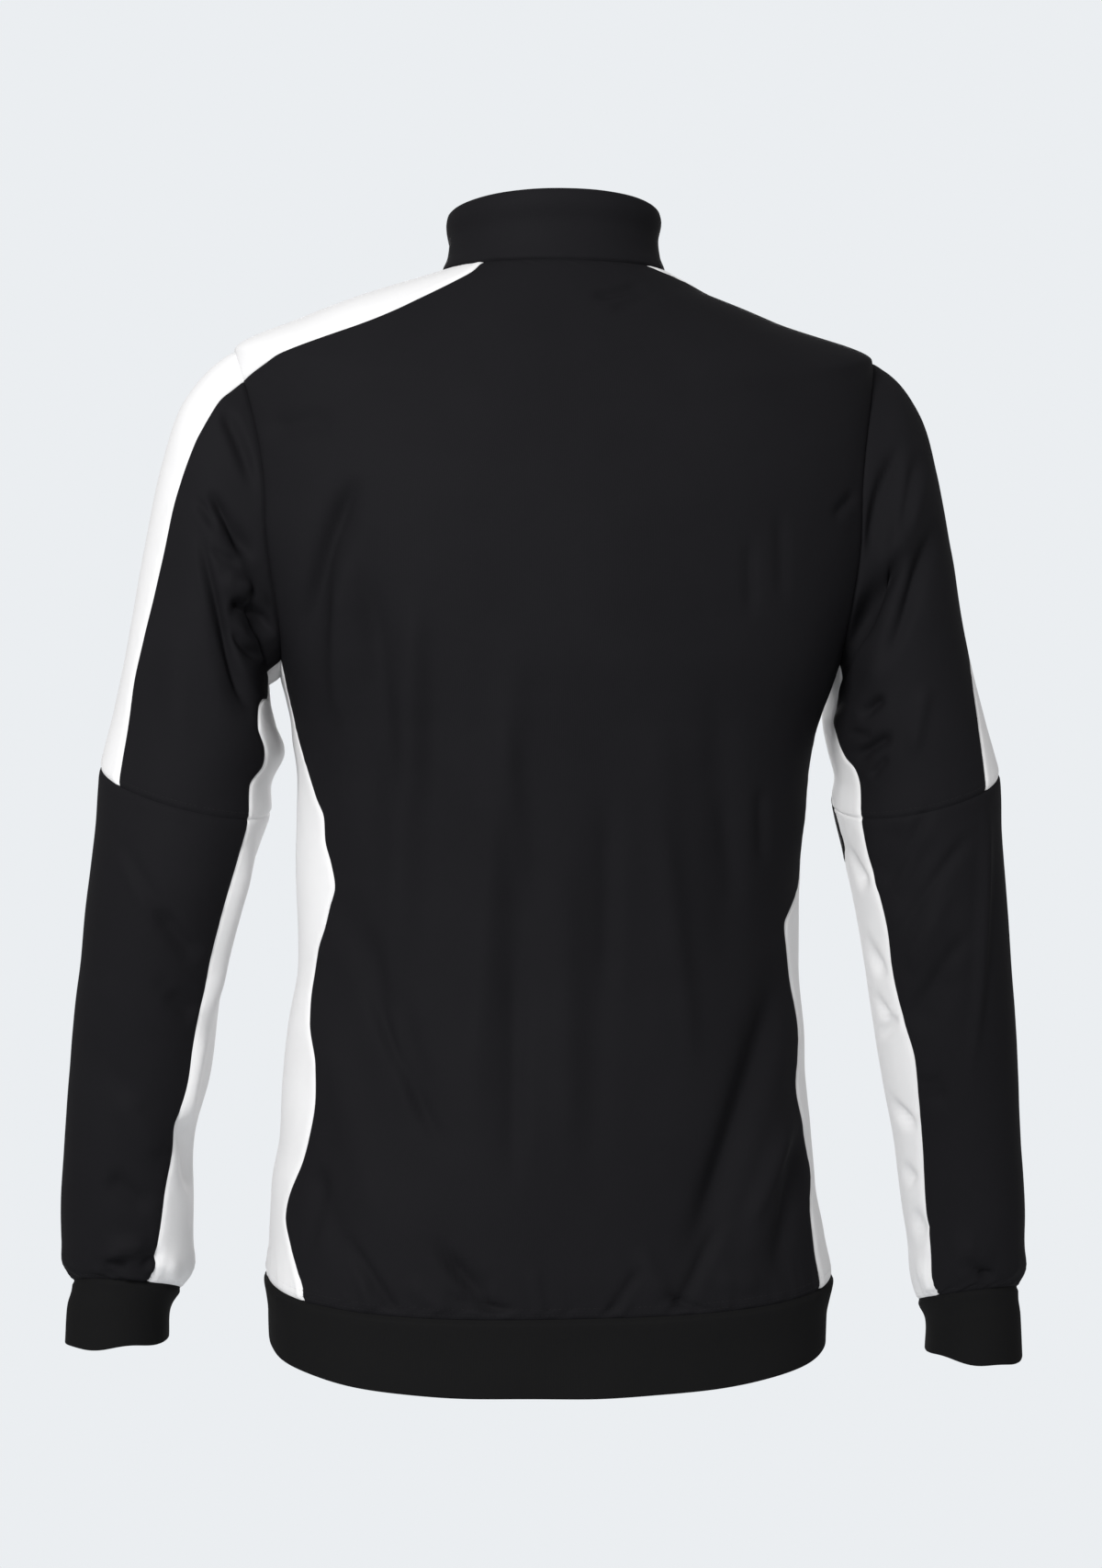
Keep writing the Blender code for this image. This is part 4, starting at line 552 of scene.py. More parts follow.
SLEEVE_CREASES_BEHIND = [
    (21.2, -8.5, 20.2, -9.6, 18.8, -14.1, 0.55, -0.26),
    (22.2, -13.6, 20.6, -15.7, 19.1, -18.4, 0.45, -0.24),
    (22.8, -14.1, 22.1, -15.3, 21.4, -16.3, 0.4, -0.16),
    (22.0, -17.4, 20.9, -18.3, 19.7, -18.4, 0.4, -0.13),
    (20.4, -19.9, 19.1, -19.6, 18.0, -21.2, 0.4, 0.09),
    (20.6, -21.0, 19.1, -20.8, 17.6, -23.1, 0.34, -0.26),
    (20.2, -22.6, 19.6, -24.0, 18.2, -24.6, 0.36, -0.15),
    (22.6, -15.8, 21.5, -22.4, 18.9, -28.6, 0.42, -0.26),
    (27.8, -35.6, 25.5, -40.8, 22.4, -44.0, 0.55, -0.12),
    (28.2, -36.0, 26.6, -39.4, 25.0, -41.2, 0.6, 0.08),
    (25.6, -44.8, 24.2, -46.4, 22.6, -47.4, 0.7, -0.08),
    (28.4, -50.0, 27.0, -52.6, 25.0, -54.6, 0.8, -0.08),
    (28.2, -52.6, 26.8, -54.4, 25.0, -56.8, 0.9, 0.04),
    (28.8, -57.4, 27.4, -58.9, 25.2, -60.2, 0.8, -0.05),
    (29.5, -64.1, 28.0, -61.6, 25.6, -62.4, 0.5, 0.22),
    (29.6, -63.4, 28.4, -62.8, 26.8, -63.6, 0.4, -0.22),
    (28.4, -64.4, 27.0, -63.6, 25.4, -64.6, 0.35, 0.16),
    (26.4, -63.8, 25.6, -62.6, 24.6, -62.8, 0.4, -0.20),
    (18.8, -35.6, 20.8, -41.4, 22.4, -49.4, 0.5, 0.28),
    (22.0, -47.4, 23.0, -51.4, 23.4, -55.0, 0.5, 0.22),
    (23.7, -53.6, 23.2, -56.4, 22.9, -59.2, 0.6, -0.28),
    (24.4, -62.8, 24.0, -63.8, 24.2, -65.0, 0.45, 0.14),
    (-22.9, -17.8, -20.6, -20.0, -18.9, -24.3, 0.55, -0.34),
    (-24.8, -15.3, -23.6, -20.0, -21.1, -25.5, 0.6, -0.24),
    (-23.6, -11.2, -23.1, -14.0, -22.3, -16.9, 0.5, -0.20),
    (-22.7, -10.4, -20.6, -14.0, -19.9, -18.4, 0.5, -0.22),
    (-21.5, -26.9, -20.6, -27.6, -19.8, -28.2, 0.4, -0.18),
    (-18.9, -29.2, -19.8, -29.4, -20.5, -29.5, 0.35, -0.14),
    (-22.1, -29.4, -20.6, -30.0, -19.3, -31.0, 0.4, -0.18),
    (-21.7, -30.8, -20.9, -31.4, -20.4, -32.2, 0.35, -0.14),
    (-24.0, -25.9, -23.6, -28.4, -23.0, -31.2, 0.6, 0.14),
    (-24.6, -33.6, -22.6, -36.8, -20.8, -40.4, 0.5, -0.16),
    (-27.2, -35.4, -24.6, -38.4, -21.8, -43.0, 0.5, -0.17),
    (-26.0, -38.8, -24.4, -41.6, -22.6, -43.8, 0.5, 0.08),
    (-27.2, -41.6, -24.8, -44.6, -22.6, -48.0, 0.6, -0.15),
    (-27.9, -32.2, -28.0, -42.0, -26.8, -52.0, 0.4, 0.2),
    (-23.4, -51.6, -24.2, -51.8, -25.2, -51.4, 0.4, -0.09),
    (-27.3, -64.1, -27.8, -64.0, -28.5, -63.8, 0.4, -0.16),
    (-28.6, -63.0, -27.0, -62.0, -25.4, -63.2, 0.5, 0.20),
    (-26.8, -63.4, -27.6, -64.0, -28.6, -64.2, 0.4, -0.20),
    (-18.6, -36.4, -19.3, -37.6, -20.3, -39.6, 0.45, -0.30),
    (-19.4, -41.6, -20.2, -43.2, -21.5, -45.2, 0.5, -0.28),
    (-20.5, -45.8, -21.0, -46.8, -21.8, -47.8, 0.35, -0.22),
    (-20.7, -48.8, -21.5, -48.4, -22.3, -47.3, 0.35, -0.22),
    (-21.0, -52.4, -22.2, -53.4, -23.5, -54.9, 0.45, -0.28),
    (-22.3, -56.8, -22.8, -57.6, -23.4, -58.2, 0.5, -0.22),
    (-23.1, -59.8, -23.5, -60.7, -24.0, -61.6, 0.5, -0.20),
    (-23.2, -62.8, -23.9, -64.0, -24.6, -65.6, 0.5, 0.14),
]
SLEEVE_CREASES_IN_FRONT = [
    (22.4, -14.2, 20.8, -17.0, 19.8, -21.6, 0.5, -0.26),
    (24.0, -13.4, 22.6, -18.0, 21.2, -22.4, 0.6, -0.20),
    (24.2, -27.4, 22.6, -28.4, 20.2, -29.2, 0.5, -0.22),
    (25.8, -31.8, 23.6, -33.4, 20.6, -32.8, 0.5, -0.26),
    (26.0, -34.4, 24.0, -36.0, 21.6, -36.2, 0.5, -0.20),
    (26.6, -37.2, 25.0, -38.8, 22.6, -39.4, 0.5, 0.16),
    (27.2, -44.6, 25.8, -47.2, 24.0, -49.0, 0.5, -0.20),
    (28.2, -50.6, 26.8, -53.2, 25.0, -55.2, 0.6, 0.18),
    (28.8, -57.6, 27.2, -58.6, 25.4, -58.8, 0.5, -0.22),
    (29.0, -62.8, 27.6, -61.8, 25.8, -62.6, 0.5, 0.20),
    (-22.6, -13.8, -21.0, -17.0, -19.8, -21.4, 0.5, -0.24),
    (-24.4, -12.8, -23.0, -17.6, -21.4, -22.0, 0.6, -0.20),
    (-24.6, -28.2, -22.6, -29.0, -20.4, -29.0, 0.5, -0.22),
    (-26.0, -32.2, -23.8, -33.6, -20.8, -33.6, 0.5, -0.26),
    (-26.6, -35.0, -24.6, -36.8, -22.2, -37.0, 0.5, -0.18),
    (-27.4, -43.2, -25.6, -46.2, -23.6, -48.0, 0.5, -0.20),
    (-28.6, -51.0, -27.0, -53.6, -25.4, -55.8, 0.6, 0.18),
    (-28.8, -58.2, -27.2, -59.2, -25.4, -59.0, 0.5, -0.22),
    (-29.2, -63.6, -27.8, -62.6, -26.2, -63.4, 0.5, 0.20),
]
CREASE_DEPTH = 1.8
FOLD_ENDS = 0.3              # share of a fold over which it rises at either end
CUFF_GATHERS = 0.8 * MM
HEM_GATHERS = 0.7 * MM
GATHER_REACH = 20.0 * MM
HEM_WAVE = 0.05              # cm
CUFF_WAVE = 0.004            # of the place along the sleeve
WAVE_STRETCH = 8.0

# Finishes: linear colours
# The second colour of each cloth is its darker random tone and the painted shade in the knit's hollows
BLACK_CLOTH = (0.0112, 0.0110, 0.0124, 1.0)
BLACK_CLOTH_TONE_AND_SHADE = (0.0084, 0.0082, 0.0094, 1.0)
BAND_CLOTH = (0.0092, 0.0092, 0.0094, 1.0)
BAND_CLOTH_TONE_AND_SHADE = (0.0072, 0.0072, 0.0074, 1.0)
WHITE_CLOTH = (0.77, 0.77, 0.772, 1.0)
WHITE_CLOTH_TONE_AND_SHADE = (0.71, 0.71, 0.714, 1.0)
TAPE_CLOTH = (0.0095, 0.0095, 0.0105, 1.0)
DARK_METAL = (0.045, 0.045, 0.05, 1.0)
WORN_METAL = (0.085, 0.085, 0.09, 1.0)
WALE_PITCH = 0.9 * MM
COURSE_PITCH = 0.7 * MM
STITCH_PITCH = 3.0 * MM
STITCH_LENGTH = 2.3 * MM
STITCH_WIDTH = 0.36 * MM
STITCH_HEIGHT = 0.16 * MM
TOOTH_PITCH = 1.25 * MM
TOOTH_LENGTH = 3.6 * MM
TOOTH_WIDTH = 0.85 * MM
TOOTH_HEIGHT = 1.0 * MM
TOOTH_CROSSING = 0.28        # how far past the middle a tooth is set, of its length
WALE_SHARE = 0.5
COURSE_SHARE = 0.35
COURSE_BEND = 1.4            # how far a wale bends the courses
KNIT_RELIEF = 0.05 * MM
SLACK_RELIEF = 0.5 * MM
SHEEN_ROUGHNESS = 0.45
FIBRE_SCALE = 2400.0         # noise scales, per metre
SLACK_SCALE = 55.0
CLOUD_SCALE = 14.0
# How much of the knit's relief is painted into the colour as shade in its hollows
WEAVE_SHADE = 0.18
CLOUD_ROUGHNESS = 0.12
TAPE_RELIEF = 0.12 * MM
TAPE_RIB_SCALE = 260.0
METAL_SCALE = 420.0
THREAD_SCALE = 1800.0
THREAD_RELIEF = 0.06 * MM
THREAD_SHADE = 0.7            # painted shade on the twist's dark side, of its colour
BLACK_THREAD = (0.007, 0.007, 0.008, 1.0)
WHITE_THREAD = (0.78, 0.78, 0.79, 1.0)
ZIP_COIL = (0.022, 0.022, 0.024, 1.0)


# ---- Forms ----

def curve_between(t, width, low, high, low_slope, high_slope):
    """The smooth curve between two places with the given values and slopes."""
    return ((1 + 2 * t) * (1 - t) ** 2 * low + t * (1 - t) ** 2 * width * low_slope
            + t * t * (3 - 2 * t) * high - t * t * (1 - t) * width * high_slope)


def smooth_rows(table, at):
    """Each column of a table at the given places, on one smooth line without overshoot."""
    rows = np.array(table, dtype=float)
    place, values = rows[:, 0], rows[:, 1:]
    step = np.diff(place)[:, None]
    slope = np.diff(values, axis=0) / step
    before, after = slope[:-1], slope[1:]
    same_way = before * after > 0
    mean = np.where(same_way, 2 * before * after / np.where(same_way, before + after, 1.0), 0.0)
    tangent = np.vstack([slope[:1], mean, slope[-1:]])
    at = np.clip(np.asarray(at, dtype=float), place[0], place[-1])
    low = np.clip(np.searchsorted(place, at, side="right") - 1, 0, len(place) - 2)
    width = (place[low + 1] - place[low])
    t = ((at - place[low]) / width)[..., None]
    width = width[..., None]
    result = curve_between(t, width, values[low], values[low + 1], tangent[low], tangent[low + 1])
    return np.moveaxis(result, -1, 0)


def smooth_step(low, high, value):
    """From 0 to 1 between two values, soft at both ends."""
    t = np.clip((value - low) / (high - low), 0.0, 1.0)
    return t * t * (3 - 2 * t)


def oval(angle, squareness):
    """Across and along shares of a rounded oval at an angle from its back."""
    turn = np.radians(angle)
    across, along = np.sin(turn), np.cos(turn)
    size = (np.abs(across) ** squareness + np.abs(along) ** squareness) ** (-1 / squareness)
    return across * size, along * size


def torso_form(angle, level):
    """The smooth torso. Angle 0 is the middle of the back, +90 the wearer's left side."""
    angle, level = np.broadcast_arrays(np.asarray(angle, float), np.asarray(level, float))
    width, behind, front, drop_b, drop_f, middle, square = smooth_rows(TORSO_ROUNDS, level)
    across, along = oval(angle, square)
    depth = np.where(along > 0, behind, front)
    drop = np.where(along > 0, drop_b, drop_f)
    left, right = smooth_rows(TORSO_SIDES, level)
    width = width + np.where(across > 0, left, right)
    height = level + drop * np.abs(along) ** TORSO_DROP_EASE
    return np.stack([width * across, middle + depth * along, height], -1) * CM


def armhole(turn):
    """Angle and level on the torso; turn 0 is the shoulder, 90 behind, 180 the underarm."""
    turn = np.radians(turn)
    reach = np.where(np.sin(turn) > 0, ARMHOLE_HALF_ANGLE_BEHIND, ARMHOLE_HALF_ANGLE_IN_FRONT)
    return 90.0 - reach * np.sin(turn), ARMHOLE_MIDDLE + ARMHOLE_HALF_HEIGHT * np.cos(turn)


def sleeve_form(turn, place, side):
    """The smooth sleeve of one side. Turn 0 is its outer line, 90 behind, 180 underneath."""
    turn, place = np.broadcast_arrays(np.asarray(turn, float), np.asarray(place, float))
    knots = np.array([0.0] + [row[0] for row in SLEEVE_CUTS])
    angle, level = armhole(turn)
    cuts = [torso_form(angle * side, level) * np.array([side, 1.0, 1.0])]
    for at, outer_x, outer_z, inner_x, inner_z, depth, middle, drop, square in SLEEVE_CUTS:
        behind, outward = oval(turn, square)
        if side < 0:
            out, inn, lower = smooth_rows(RIGHT_SLEEVE_SET, at)
            outer_x, inner_x = outer_x + out, inner_x + inn
            outer_z, inner_z = outer_z + lower, inner_z + lower
        cuts.append(np.stack([
            (outer_x + inner_x) / 2 + (outer_x - inner_x) / 2 * outward,
            middle + depth * behind,
            (outer_z + inner_z) / 2 + (outer_z - inner_z) / 2 * outward + drop * behind], -1) * CM)
    cuts = np.array(cuts)
    span = np.diff(knots)
    slope = np.diff(cuts, axis=0) / span.reshape(-1, *[1] * (cuts.ndim - 1))
    tangent = np.empty_like(cuts)
    tangent[0], tangent[-1] = slope[0], slope[-1]
    for knot in range(1, len(knots) - 1):
        share = span[knot - 1] / (span[knot - 1] + span[knot])
        tangent[knot] = slope[knot - 1] * (1 - share) + slope[knot] * share
    low = np.clip(np.searchsorted(knots, place, side="right") - 1, 0, len(knots) - 2)
    width = span[low]
    t = (place - knots[low]) / width
    pick = np.indices(low.shape)
    here, there = (low, *pick), (low + 1, *pick)
    return curve_between(t[..., None], width[..., None], cuts[here], cuts[there],
                         tangent[here], tangent[there])


def collar_form(angle, height):
    """The smooth stand collar; height 0 is its seam and 1 its folded top."""
    angle, height = np.broadcast_arrays(np.asarray(angle, float), np.asarray(height, float))
    width, behind, front, middle, square = smooth_rows(COLLAR_CUTS, height)
    across, along = oval(angle, square)
    depth = np.where(along > 0, behind, front)
    neck = torso_form(angle, np.full(angle.shape, NECK_SEAM))[..., 2] / CM + COLLAR_LIFT
    rise = np.where(along > 0, COLLAR_TOP_BEHIND - COLLAR_TOP_SIDE,
                    COLLAR_TOP_IN_FRONT - COLLAR_TOP_SIDE)
    top = COLLAR_TOP_SIDE + rise * np.abs(along) ** COLLAR_TOP_EASE
    lean = COLLAR_LEAN * smooth_step(-1.0, 1.0, along)
    return np.stack([lean + width * across, middle + depth * along,
                     neck + (top - neck) * height], -1) * CM


def fold_depth(points, folds):
    """How far the cloth stands out (or in) at points seen from behind, in metres."""
    x, z = points[..., 0] / CM, points[..., 2] / CM
    total = np.zeros(x.shape)
    for x0, z0, x1, z1, x2, z2, width, height in folds:
        share = np.linspace(0.0, 1.0, FOLD_STEPS)
        bend_x = (1 - share) ** 2 * x0 + 2 * share * (1 - share) * x1 + share ** 2 * x2
        bend_z = (1 - share) ** 2 * z0 + 2 * share * (1 - share) * z1 + share ** 2 * z2
        nearest = np.full(x.shape, 1e9)
        along = np.zeros(x.shape)
        for step in range(FOLD_STEPS - 1):
            dx, dz = bend_x[step + 1] - bend_x[step], bend_z[step + 1] - bend_z[step]
            t = np.clip(((x - bend_x[step]) * dx + (z - bend_z[step]) * dz)
                        / (dx * dx + dz * dz), 0.0, 1.0)
            gap = np.hypot(x - bend_x[step] - t * dx, z - bend_z[step] - t * dz)
            closer = gap < nearest
            nearest = np.where(closer, gap, nearest)
            along = np.where(closer, (step + t) / (FOLD_STEPS - 1), along)
        reach = (nearest / width) ** 2
        profile = (1 - FOLD_FLANK * reach) * np.exp(-reach)
        total += (height * profile * smooth_step(0.0, FOLD_ENDS, along)
                  * smooth_step(0.0, FOLD_ENDS, 1 - along))
    return total * CM


def seen_from_behind(points):
    """The places at which points appear to someone behind, in metres on the view's own plane."""
    x, y, z = np.moveaxis(points / CM, -1, 0)
    turn = math.radians(VIEW_TURN)
    sideways = x * math.cos(turn) - y * math.sin(turn)
    nearer = x * math.sin(turn) + y * math.cos(turn)
    size = VIEW_DISTANCE / (VIEW_DISTANCE - nearer)
    return np.stack([sideways * size, y, VIEW_LEVEL + (z - VIEW_LEVEL) * size], -1) * CM


def outward(form, u, v, step_u, step_v, side=1.0):
    """Unit normals of a surface function, pointing away from the body."""
    along_u = form(u + step_u, v) - form(u - step_u, v)
    along_v = form(u, v + step_v) - form(u, v - step_v)
    normal = np.cross(along_v, along_u) * side
    return normal / np.linalg.norm(normal, axis=-1, keepdims=True)


def creased(form, u, v, step_u, step_v, side, behind, in_front):
    """Surface points with the folds of the side that they face."""
    points = form(u, v)
    normal = outward(form, u, v, step_u, step_v, side)
    facing = normal[..., 1]
    depth = (fold_depth(seen_from_behind(points), behind) * smooth_step(0.0, FOLD_FACING, facing)
             + fold_depth(points, in_front) * smooth_step(0.0, FOLD_FACING, -facing))
    return points + normal * depth[..., None]


def deepened(creases):
    """The creases at the depth they have in the finished cloth."""
    return [(*line[:7], line[7] * CREASE_DEPTH) for line in creases]


def torso_cloth(angle, level):
    """The torso with its folds, which die out at the hem band and beside the zip."""
    plain = torso_form(angle, level)
    folded = creased(torso_form, angle, level, *TORSO_FOLD_STEPS, 1.0,
                     FOLDS_BEHIND + deepened(CREASES_BEHIND),
                     FOLDS_IN_FRONT + deepened(CREASES_IN_FRONT))
    calm = smooth_step(HEM_SEAM, HEM_SEAM + HEM_CALM, np.asarray(level, float))
    by_zip = np.where(plain[..., 1] < 0, smooth_step(*ZIP_CALM, np.abs(plain[..., 0])), 1.0)
    return plain + (folded - plain) * (calm * by_zip)[..., None]


def sleeve_shape(side):
    """The smooth sleeve surface of one side, +1 the wearer's left, in its own place."""
    def form(turn, place):
        return sleeve_form(turn, place, side) * np.array([side, 1.0, 1.0])
    return form


def sleeve_cloth(side):
    """One side's sleeve with its folds, which die out at the armhole and the cuff."""
    form = sleeve_shape(side)

    def folded_cloth(turn, place):
        plain = form(turn, place)
        folded = creased(form, turn, np.maximum(place, FOLDED_FROM), *SLEEVE_FOLD_STEPS, side,
                         SLEEVE_FOLDS_BEHIND + deepened(SLEEVE_CREASES_BEHIND),
                         SLEEVE_FOLDS_IN_FRONT + deepened(SLEEVE_CREASES_IN_FRONT))
        place = np.broadcast_to(np.asarray(place, float), plain.shape[:-1])
        calm = smooth_step(0.0, ARMHOLE_CALM, place) * smooth_step(0.0, WRIST_CALM, WRIST - place)
        return plain + (folded - plain) * calm[..., None]
    return folded_cloth


def torso_out(angle, level):
    """Outward directions of the torso."""
    return outward(torso_form, angle, level, *TORSO_STEPS)


def collar_out(angle, height):
    """Outward directions of the collar."""
    return outward(collar_form, angle, height, *COLLAR_STEPS)


def sleeve_out(side):
    """Outward directions of one side's sleeve."""
    def normals(turn, place):
        return outward(sleeve_shape(side), turn, np.maximum(place, OUTWARD_FROM), *SLEEVE_STEPS,
                       side)
    return normals


def armhole_middle(side, turns):
    """The direction between torso and sleeve along the armhole seam; none where a turn is none."""
    angle, level = armhole(turns)
    body = torso_out(angle * side, level)
    arm = outward(sleeve_shape(side), turns, np.full(np.shape(turns), ARMHOLE_SIDE),
                  *ARMHOLE_STEPS, side)
    middle = body + arm
    return middle / np.linalg.norm(middle, axis=-1, keepdims=True)


def patch(left, right, bottom, top, v_shares, u_shares):
    """Surface places between four edge lines that share their corners."""
    v, u = v_shares[:, None, None], u_shares[None, :, None]
    sides = left[:, None] * (1 - u) + right[:, None] * u
    ends = bottom[None] * (1 - v) + top[None] * v
    corners = ((bottom[0] * (1 - u) + bottom[-1] * u) * (1 - v)
               + (top[0] * (1 - u) + top[-1] * u) * v)
    return sides + ends - corners


def line(angles, levels):
    """Surface places from angles and levels."""
    return np.stack(np.broadcast_arrays(np.asarray(angles, float), np.asarray(levels, float)), -1)


def seam_angle(table, level, side):
    """A seam's angle on one side, at the given levels or places."""
    left, right = smooth_rows(table, level)
    return left if side > 0 else right


def seam_to_corner(table, levels, side, corner):
    """A seam's angles, eased so that its end meets the corner on the armhole."""
    angles = seam_angle(table, levels, side)
    corner_angle, corner_level = corner
    miss = corner_angle - seam_angle(table, np.array([corner_level]), side)[0]
    far = UNDERARM_EASE if corner_level < ARMHOLE_MIDDLE else SHOULDER_EASE
    return angles + miss * smooth_step(0.0, 1.0, 1 - np.abs(levels - corner_level) / far)


def front_angle(rounds, at, x):
    """The angle at which the front of the torso or the collar lies x cm from the middle."""
    columns = smooth_rows(rounds, at)
    share = x / columns[0]
    along = (1 - share ** columns[-1]) ** (1 / columns[-1])
    return 180.0 - np.degrees(np.arctan2(share, along))


# ---- Cloth grids ----

def shares(length, start=True, end=True, step=GRID_STEP):
    """Shares along a stretch of cloth, closer together beside the seams at its ends."""
    reach = EDGE_STEPS[-1]
    low = reach if start else 0.0
    high = length - (reach if end else 0.0)
    middle = np.linspace(low, high, max(2, round((high - low) / step) + 1))
    first = EDGE_STEPS[:-1] if start else []
    last = length - EDGE_STEPS[-2::-1] if end else []
    return np.concatenate([first, middle, last]) / length


def spread(low, high, length, start=True, end=True):
    """Values from low to high, closer together beside the seams at the ends."""
    return low + (high - low) * shares(length, start, end)


def edge_distances(points):
    """How far each point of a grid lies from the grid's four edges, along the cloth."""
    across = np.linalg.norm(np.diff(points, axis=1), axis=-1)
    across = np.pad(np.cumsum(across, axis=1), ((0, 0), (1, 0)))
    along = np.linalg.norm(np.diff(points, axis=0), axis=-1)
    along = np.pad(np.cumsum(along, axis=0), ((1, 0), (0, 0)))
    return {"left": (across, along), "right": (across[:, -1:] - across, along),
            "start": (along, across), "end": (along[-1:] - along, across)}


def ripple(run, seed):
    """Uneven waves along a seam, from -1 to 1."""
    total = np.zeros(run.shape)
    for number, length in enumerate(RIPPLE_LENGTHS):
        total += np.sin(2 * math.pi * run / length + seed * (1.7 + number) + 2.1 * number
                        + RIPPLE_BEND * np.sin(run / (RIPPLE_BEND_LENGTH * length) + seed))
    return total / len(RIPPLE_LENGTHS)


def seam_relief(distance, run, seed):
    """The cloth beside a sewn seam."""
    roll = -SEAM_DEPTH * np.exp(-(distance / SEAM_SOFT) ** 2)
    swell = SEAM_SWELL * np.exp(-((distance - SWELL_AT) / SWELL_SOFT) ** 2)
    beside = np.exp(-(distance / PUCKER_REACH) ** 2) - np.exp(-(distance / SEAM_SOFT) ** 2)
    return roll + swell + PUCKER * ripple(run, seed) * beside


def fold_relief(distance, run, seed):
    """The rounded edge of a band, collar or zip facing."""
    inside = np.clip(1 - distance / FOLD_EDGE_RADIUS, 0.0, 1.0)
    return FOLD_EDGE_RADIUS * (np.sqrt(1 - inside ** 2) - 1)


def row_sink(distance, row):
    """The groove that a row of stitches pulls into the cloth."""
    return -STITCH_SINK * np.exp(-((distance - row) / STITCH_SOFT) ** 2)


RELIEFS = {"seam": seam_relief, "fold": fold_relief}


def uneven(points):
    """Small slow unevenness of worn cloth, in metres."""
    flat = points.reshape(-1, 3)
    total = np.zeros(len(flat))
    for number, (length, height) in enumerate(UNEVEN_WAVES):
        shift = UNEVEN_SHIFT * number
        total += height * np.array([noise.noise(Vector((p / length).tolist()) + Vector((shift,) * 3))
                                    for p in flat])
    return total.reshape(points.shape[:-1])


def grid_mesh(name, outer, inner, around):
    """A closed shell from two grids, with a UV map in metres along the cloth."""
    rows, columns = outer.shape[:2]
    last = columns if around else columns - 1
    index = np.arange(rows * columns).reshape(rows, columns)
    right = np.roll(index, -1, axis=1)
    a, b = index[:-1, :last], right[:-1, :last]
    c, d = right[1:, :last], index[1:, :last]
    skin = np.stack([a, b, c, d], -1).reshape(-1, 4)
    below = rows * columns

    def wall(here, there):
        return np.stack([here, there, there + below, here + below], -1)

    faces = [skin, skin[:, ::-1] + below, wall(right[0, :last], index[0, :last]),
             wall(index[-1, :last], right[-1, :last])]
    if not around:
        faces.append(wall(index[:-1, 0], index[1:, 0]))
        faces.append(wall(index[1:, -1], index[:-1, -1]))
    faces = np.concatenate(faces)
    points = np.concatenate([outer.reshape(-1, 3), inner.reshape(-1, 3)])
    corners = points[faces]
    volume = np.einsum("ij,ij->i", corners[:, 0], np.cross(corners[:, 1], corners[:, 2])).sum()
    if volume < 0:
        faces = faces[:, ::-1]
    data = bpy.data.meshes.new(name)
    data.from_pydata(points, [], faces)
    across = np.linalg.norm(np.diff(outer, axis=1), axis=-1).mean(axis=0)
    along = np.linalg.norm(np.diff(outer, axis=0), axis=-1).mean(axis=1)
    u = np.pad(np.cumsum(across), (1, 0))
    v = np.pad(np.cumsum(along), (1, 0))
    spot = np.stack(np.meshgrid(u, v), -1).reshape(-1, 2)
    spot = np.concatenate([spot, spot])
    layer = data.uv_layers.new(name="cloth")
    layer.data.foreach_set("uv", spot[faces].reshape(-1).astype(np.float32))
    data.shade_smooth()
    return data


def placed(name, data):
    """A new object in the scene."""
    made = bpy.data.objects.new(name, data)
    bpy.context.scene.collection.objects.link(made)
    return made


def mesh_of(shape, name):
    """Mesh data from an edited shape, which is freed."""
    data = bpy.data.meshes.new(name)
    shape.to_mesh(data)
    shape.free()
    return data


def plain_mesh(source):
    """The finished mesh of an object, which is then removed."""
    bpy.context.view_layer.update()
    data = bpy.data.meshes.new_from_object(
        source.evaluated_get(bpy.context.evaluated_depsgraph_get()))
    bpy.data.objects.remove(source)
    return data


def part_of(name, data, finish, slot, *nodes, body="jacket"):
    """A finished piece that stands for its solids and moves with their body."""
    piece = placed(name, data)
    data.materials.clear()
    data.materials.append(finish)
    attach(piece, body)
    if nodes:
        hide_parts(*nodes)
    return piece


def mitred(out, distance, middle, edge):
    """Outward directions that turn, beside an armhole, to the one that both its sides share."""
    middle = middle[:, None] if edge in ("left", "right") else middle[None]
    near = np.where(np.isnan(middle[..., 0]), 0.0, 1 - smooth_step(0.0, MITRE_REACH, distance))
    turned = out + (np.nan_to_num(middle) - out) * near[..., None]
    return turned / np.linalg.norm(turned, axis=-1, keepdims=True)


def cloth(node, surface, normals, u, v, kind, edges, rows=(), extra=None, proud=0.0,
          around=False, mitres=(), seed=1.0):
    """One cloth piece on a surface function. Edges are named seam or fold; rows of stitches are
    (edge, distance) pairs. Returns the stitch rows as lines of points and outward directions."""
    plain = surface(u, v)
    out = normals(u, v)
    if around:
        looped = np.concatenate([plain, plain[:, :1]], axis=1)
        reach = {key: tuple(part[:, :-1] for part in pair)
                 for key, pair in edge_distances(looped).items()}
    else:
        reach = edge_distances(plain)
    for edge, middle in mitres:
        out = mitred(out, reach[edge][0], middle, edge)
    depth = uneven(plain) * kind["slack"]
    stands = np.full(depth.shape, proud)
    for edge, sort in edges.items():
        distance, run = reach[edge]
        depth = depth + RELIEFS[sort](distance, run, seed + 3.1 * len(edge))
        if sort == "seam":
            stands = stands * smooth_step(0.0, PROUD_REACH, distance)
    for edge, row in rows:
        depth = depth + row_sink(reach[edge][0], row)
    if extra is not None:
        depth = depth + extra(reach)
    outer = plain + out * (depth + stands)[..., None]
    inner = outer - out * (kind["thick"] + np.minimum(0.0, depth * 0.5))[..., None]
    if "fold" in edges.values():
        inner = turned_in(outer, inner, reach, edges)
    data = grid_mesh(node + "_cloth", outer, inner, around)
    piece = part_of(node + "_cloth", data, kind["finish"], kind["slot"], node)
    lines = [stitch_line(outer, out, reach[edge][0], row, edge) for edge, row in rows]
    return piece, lines


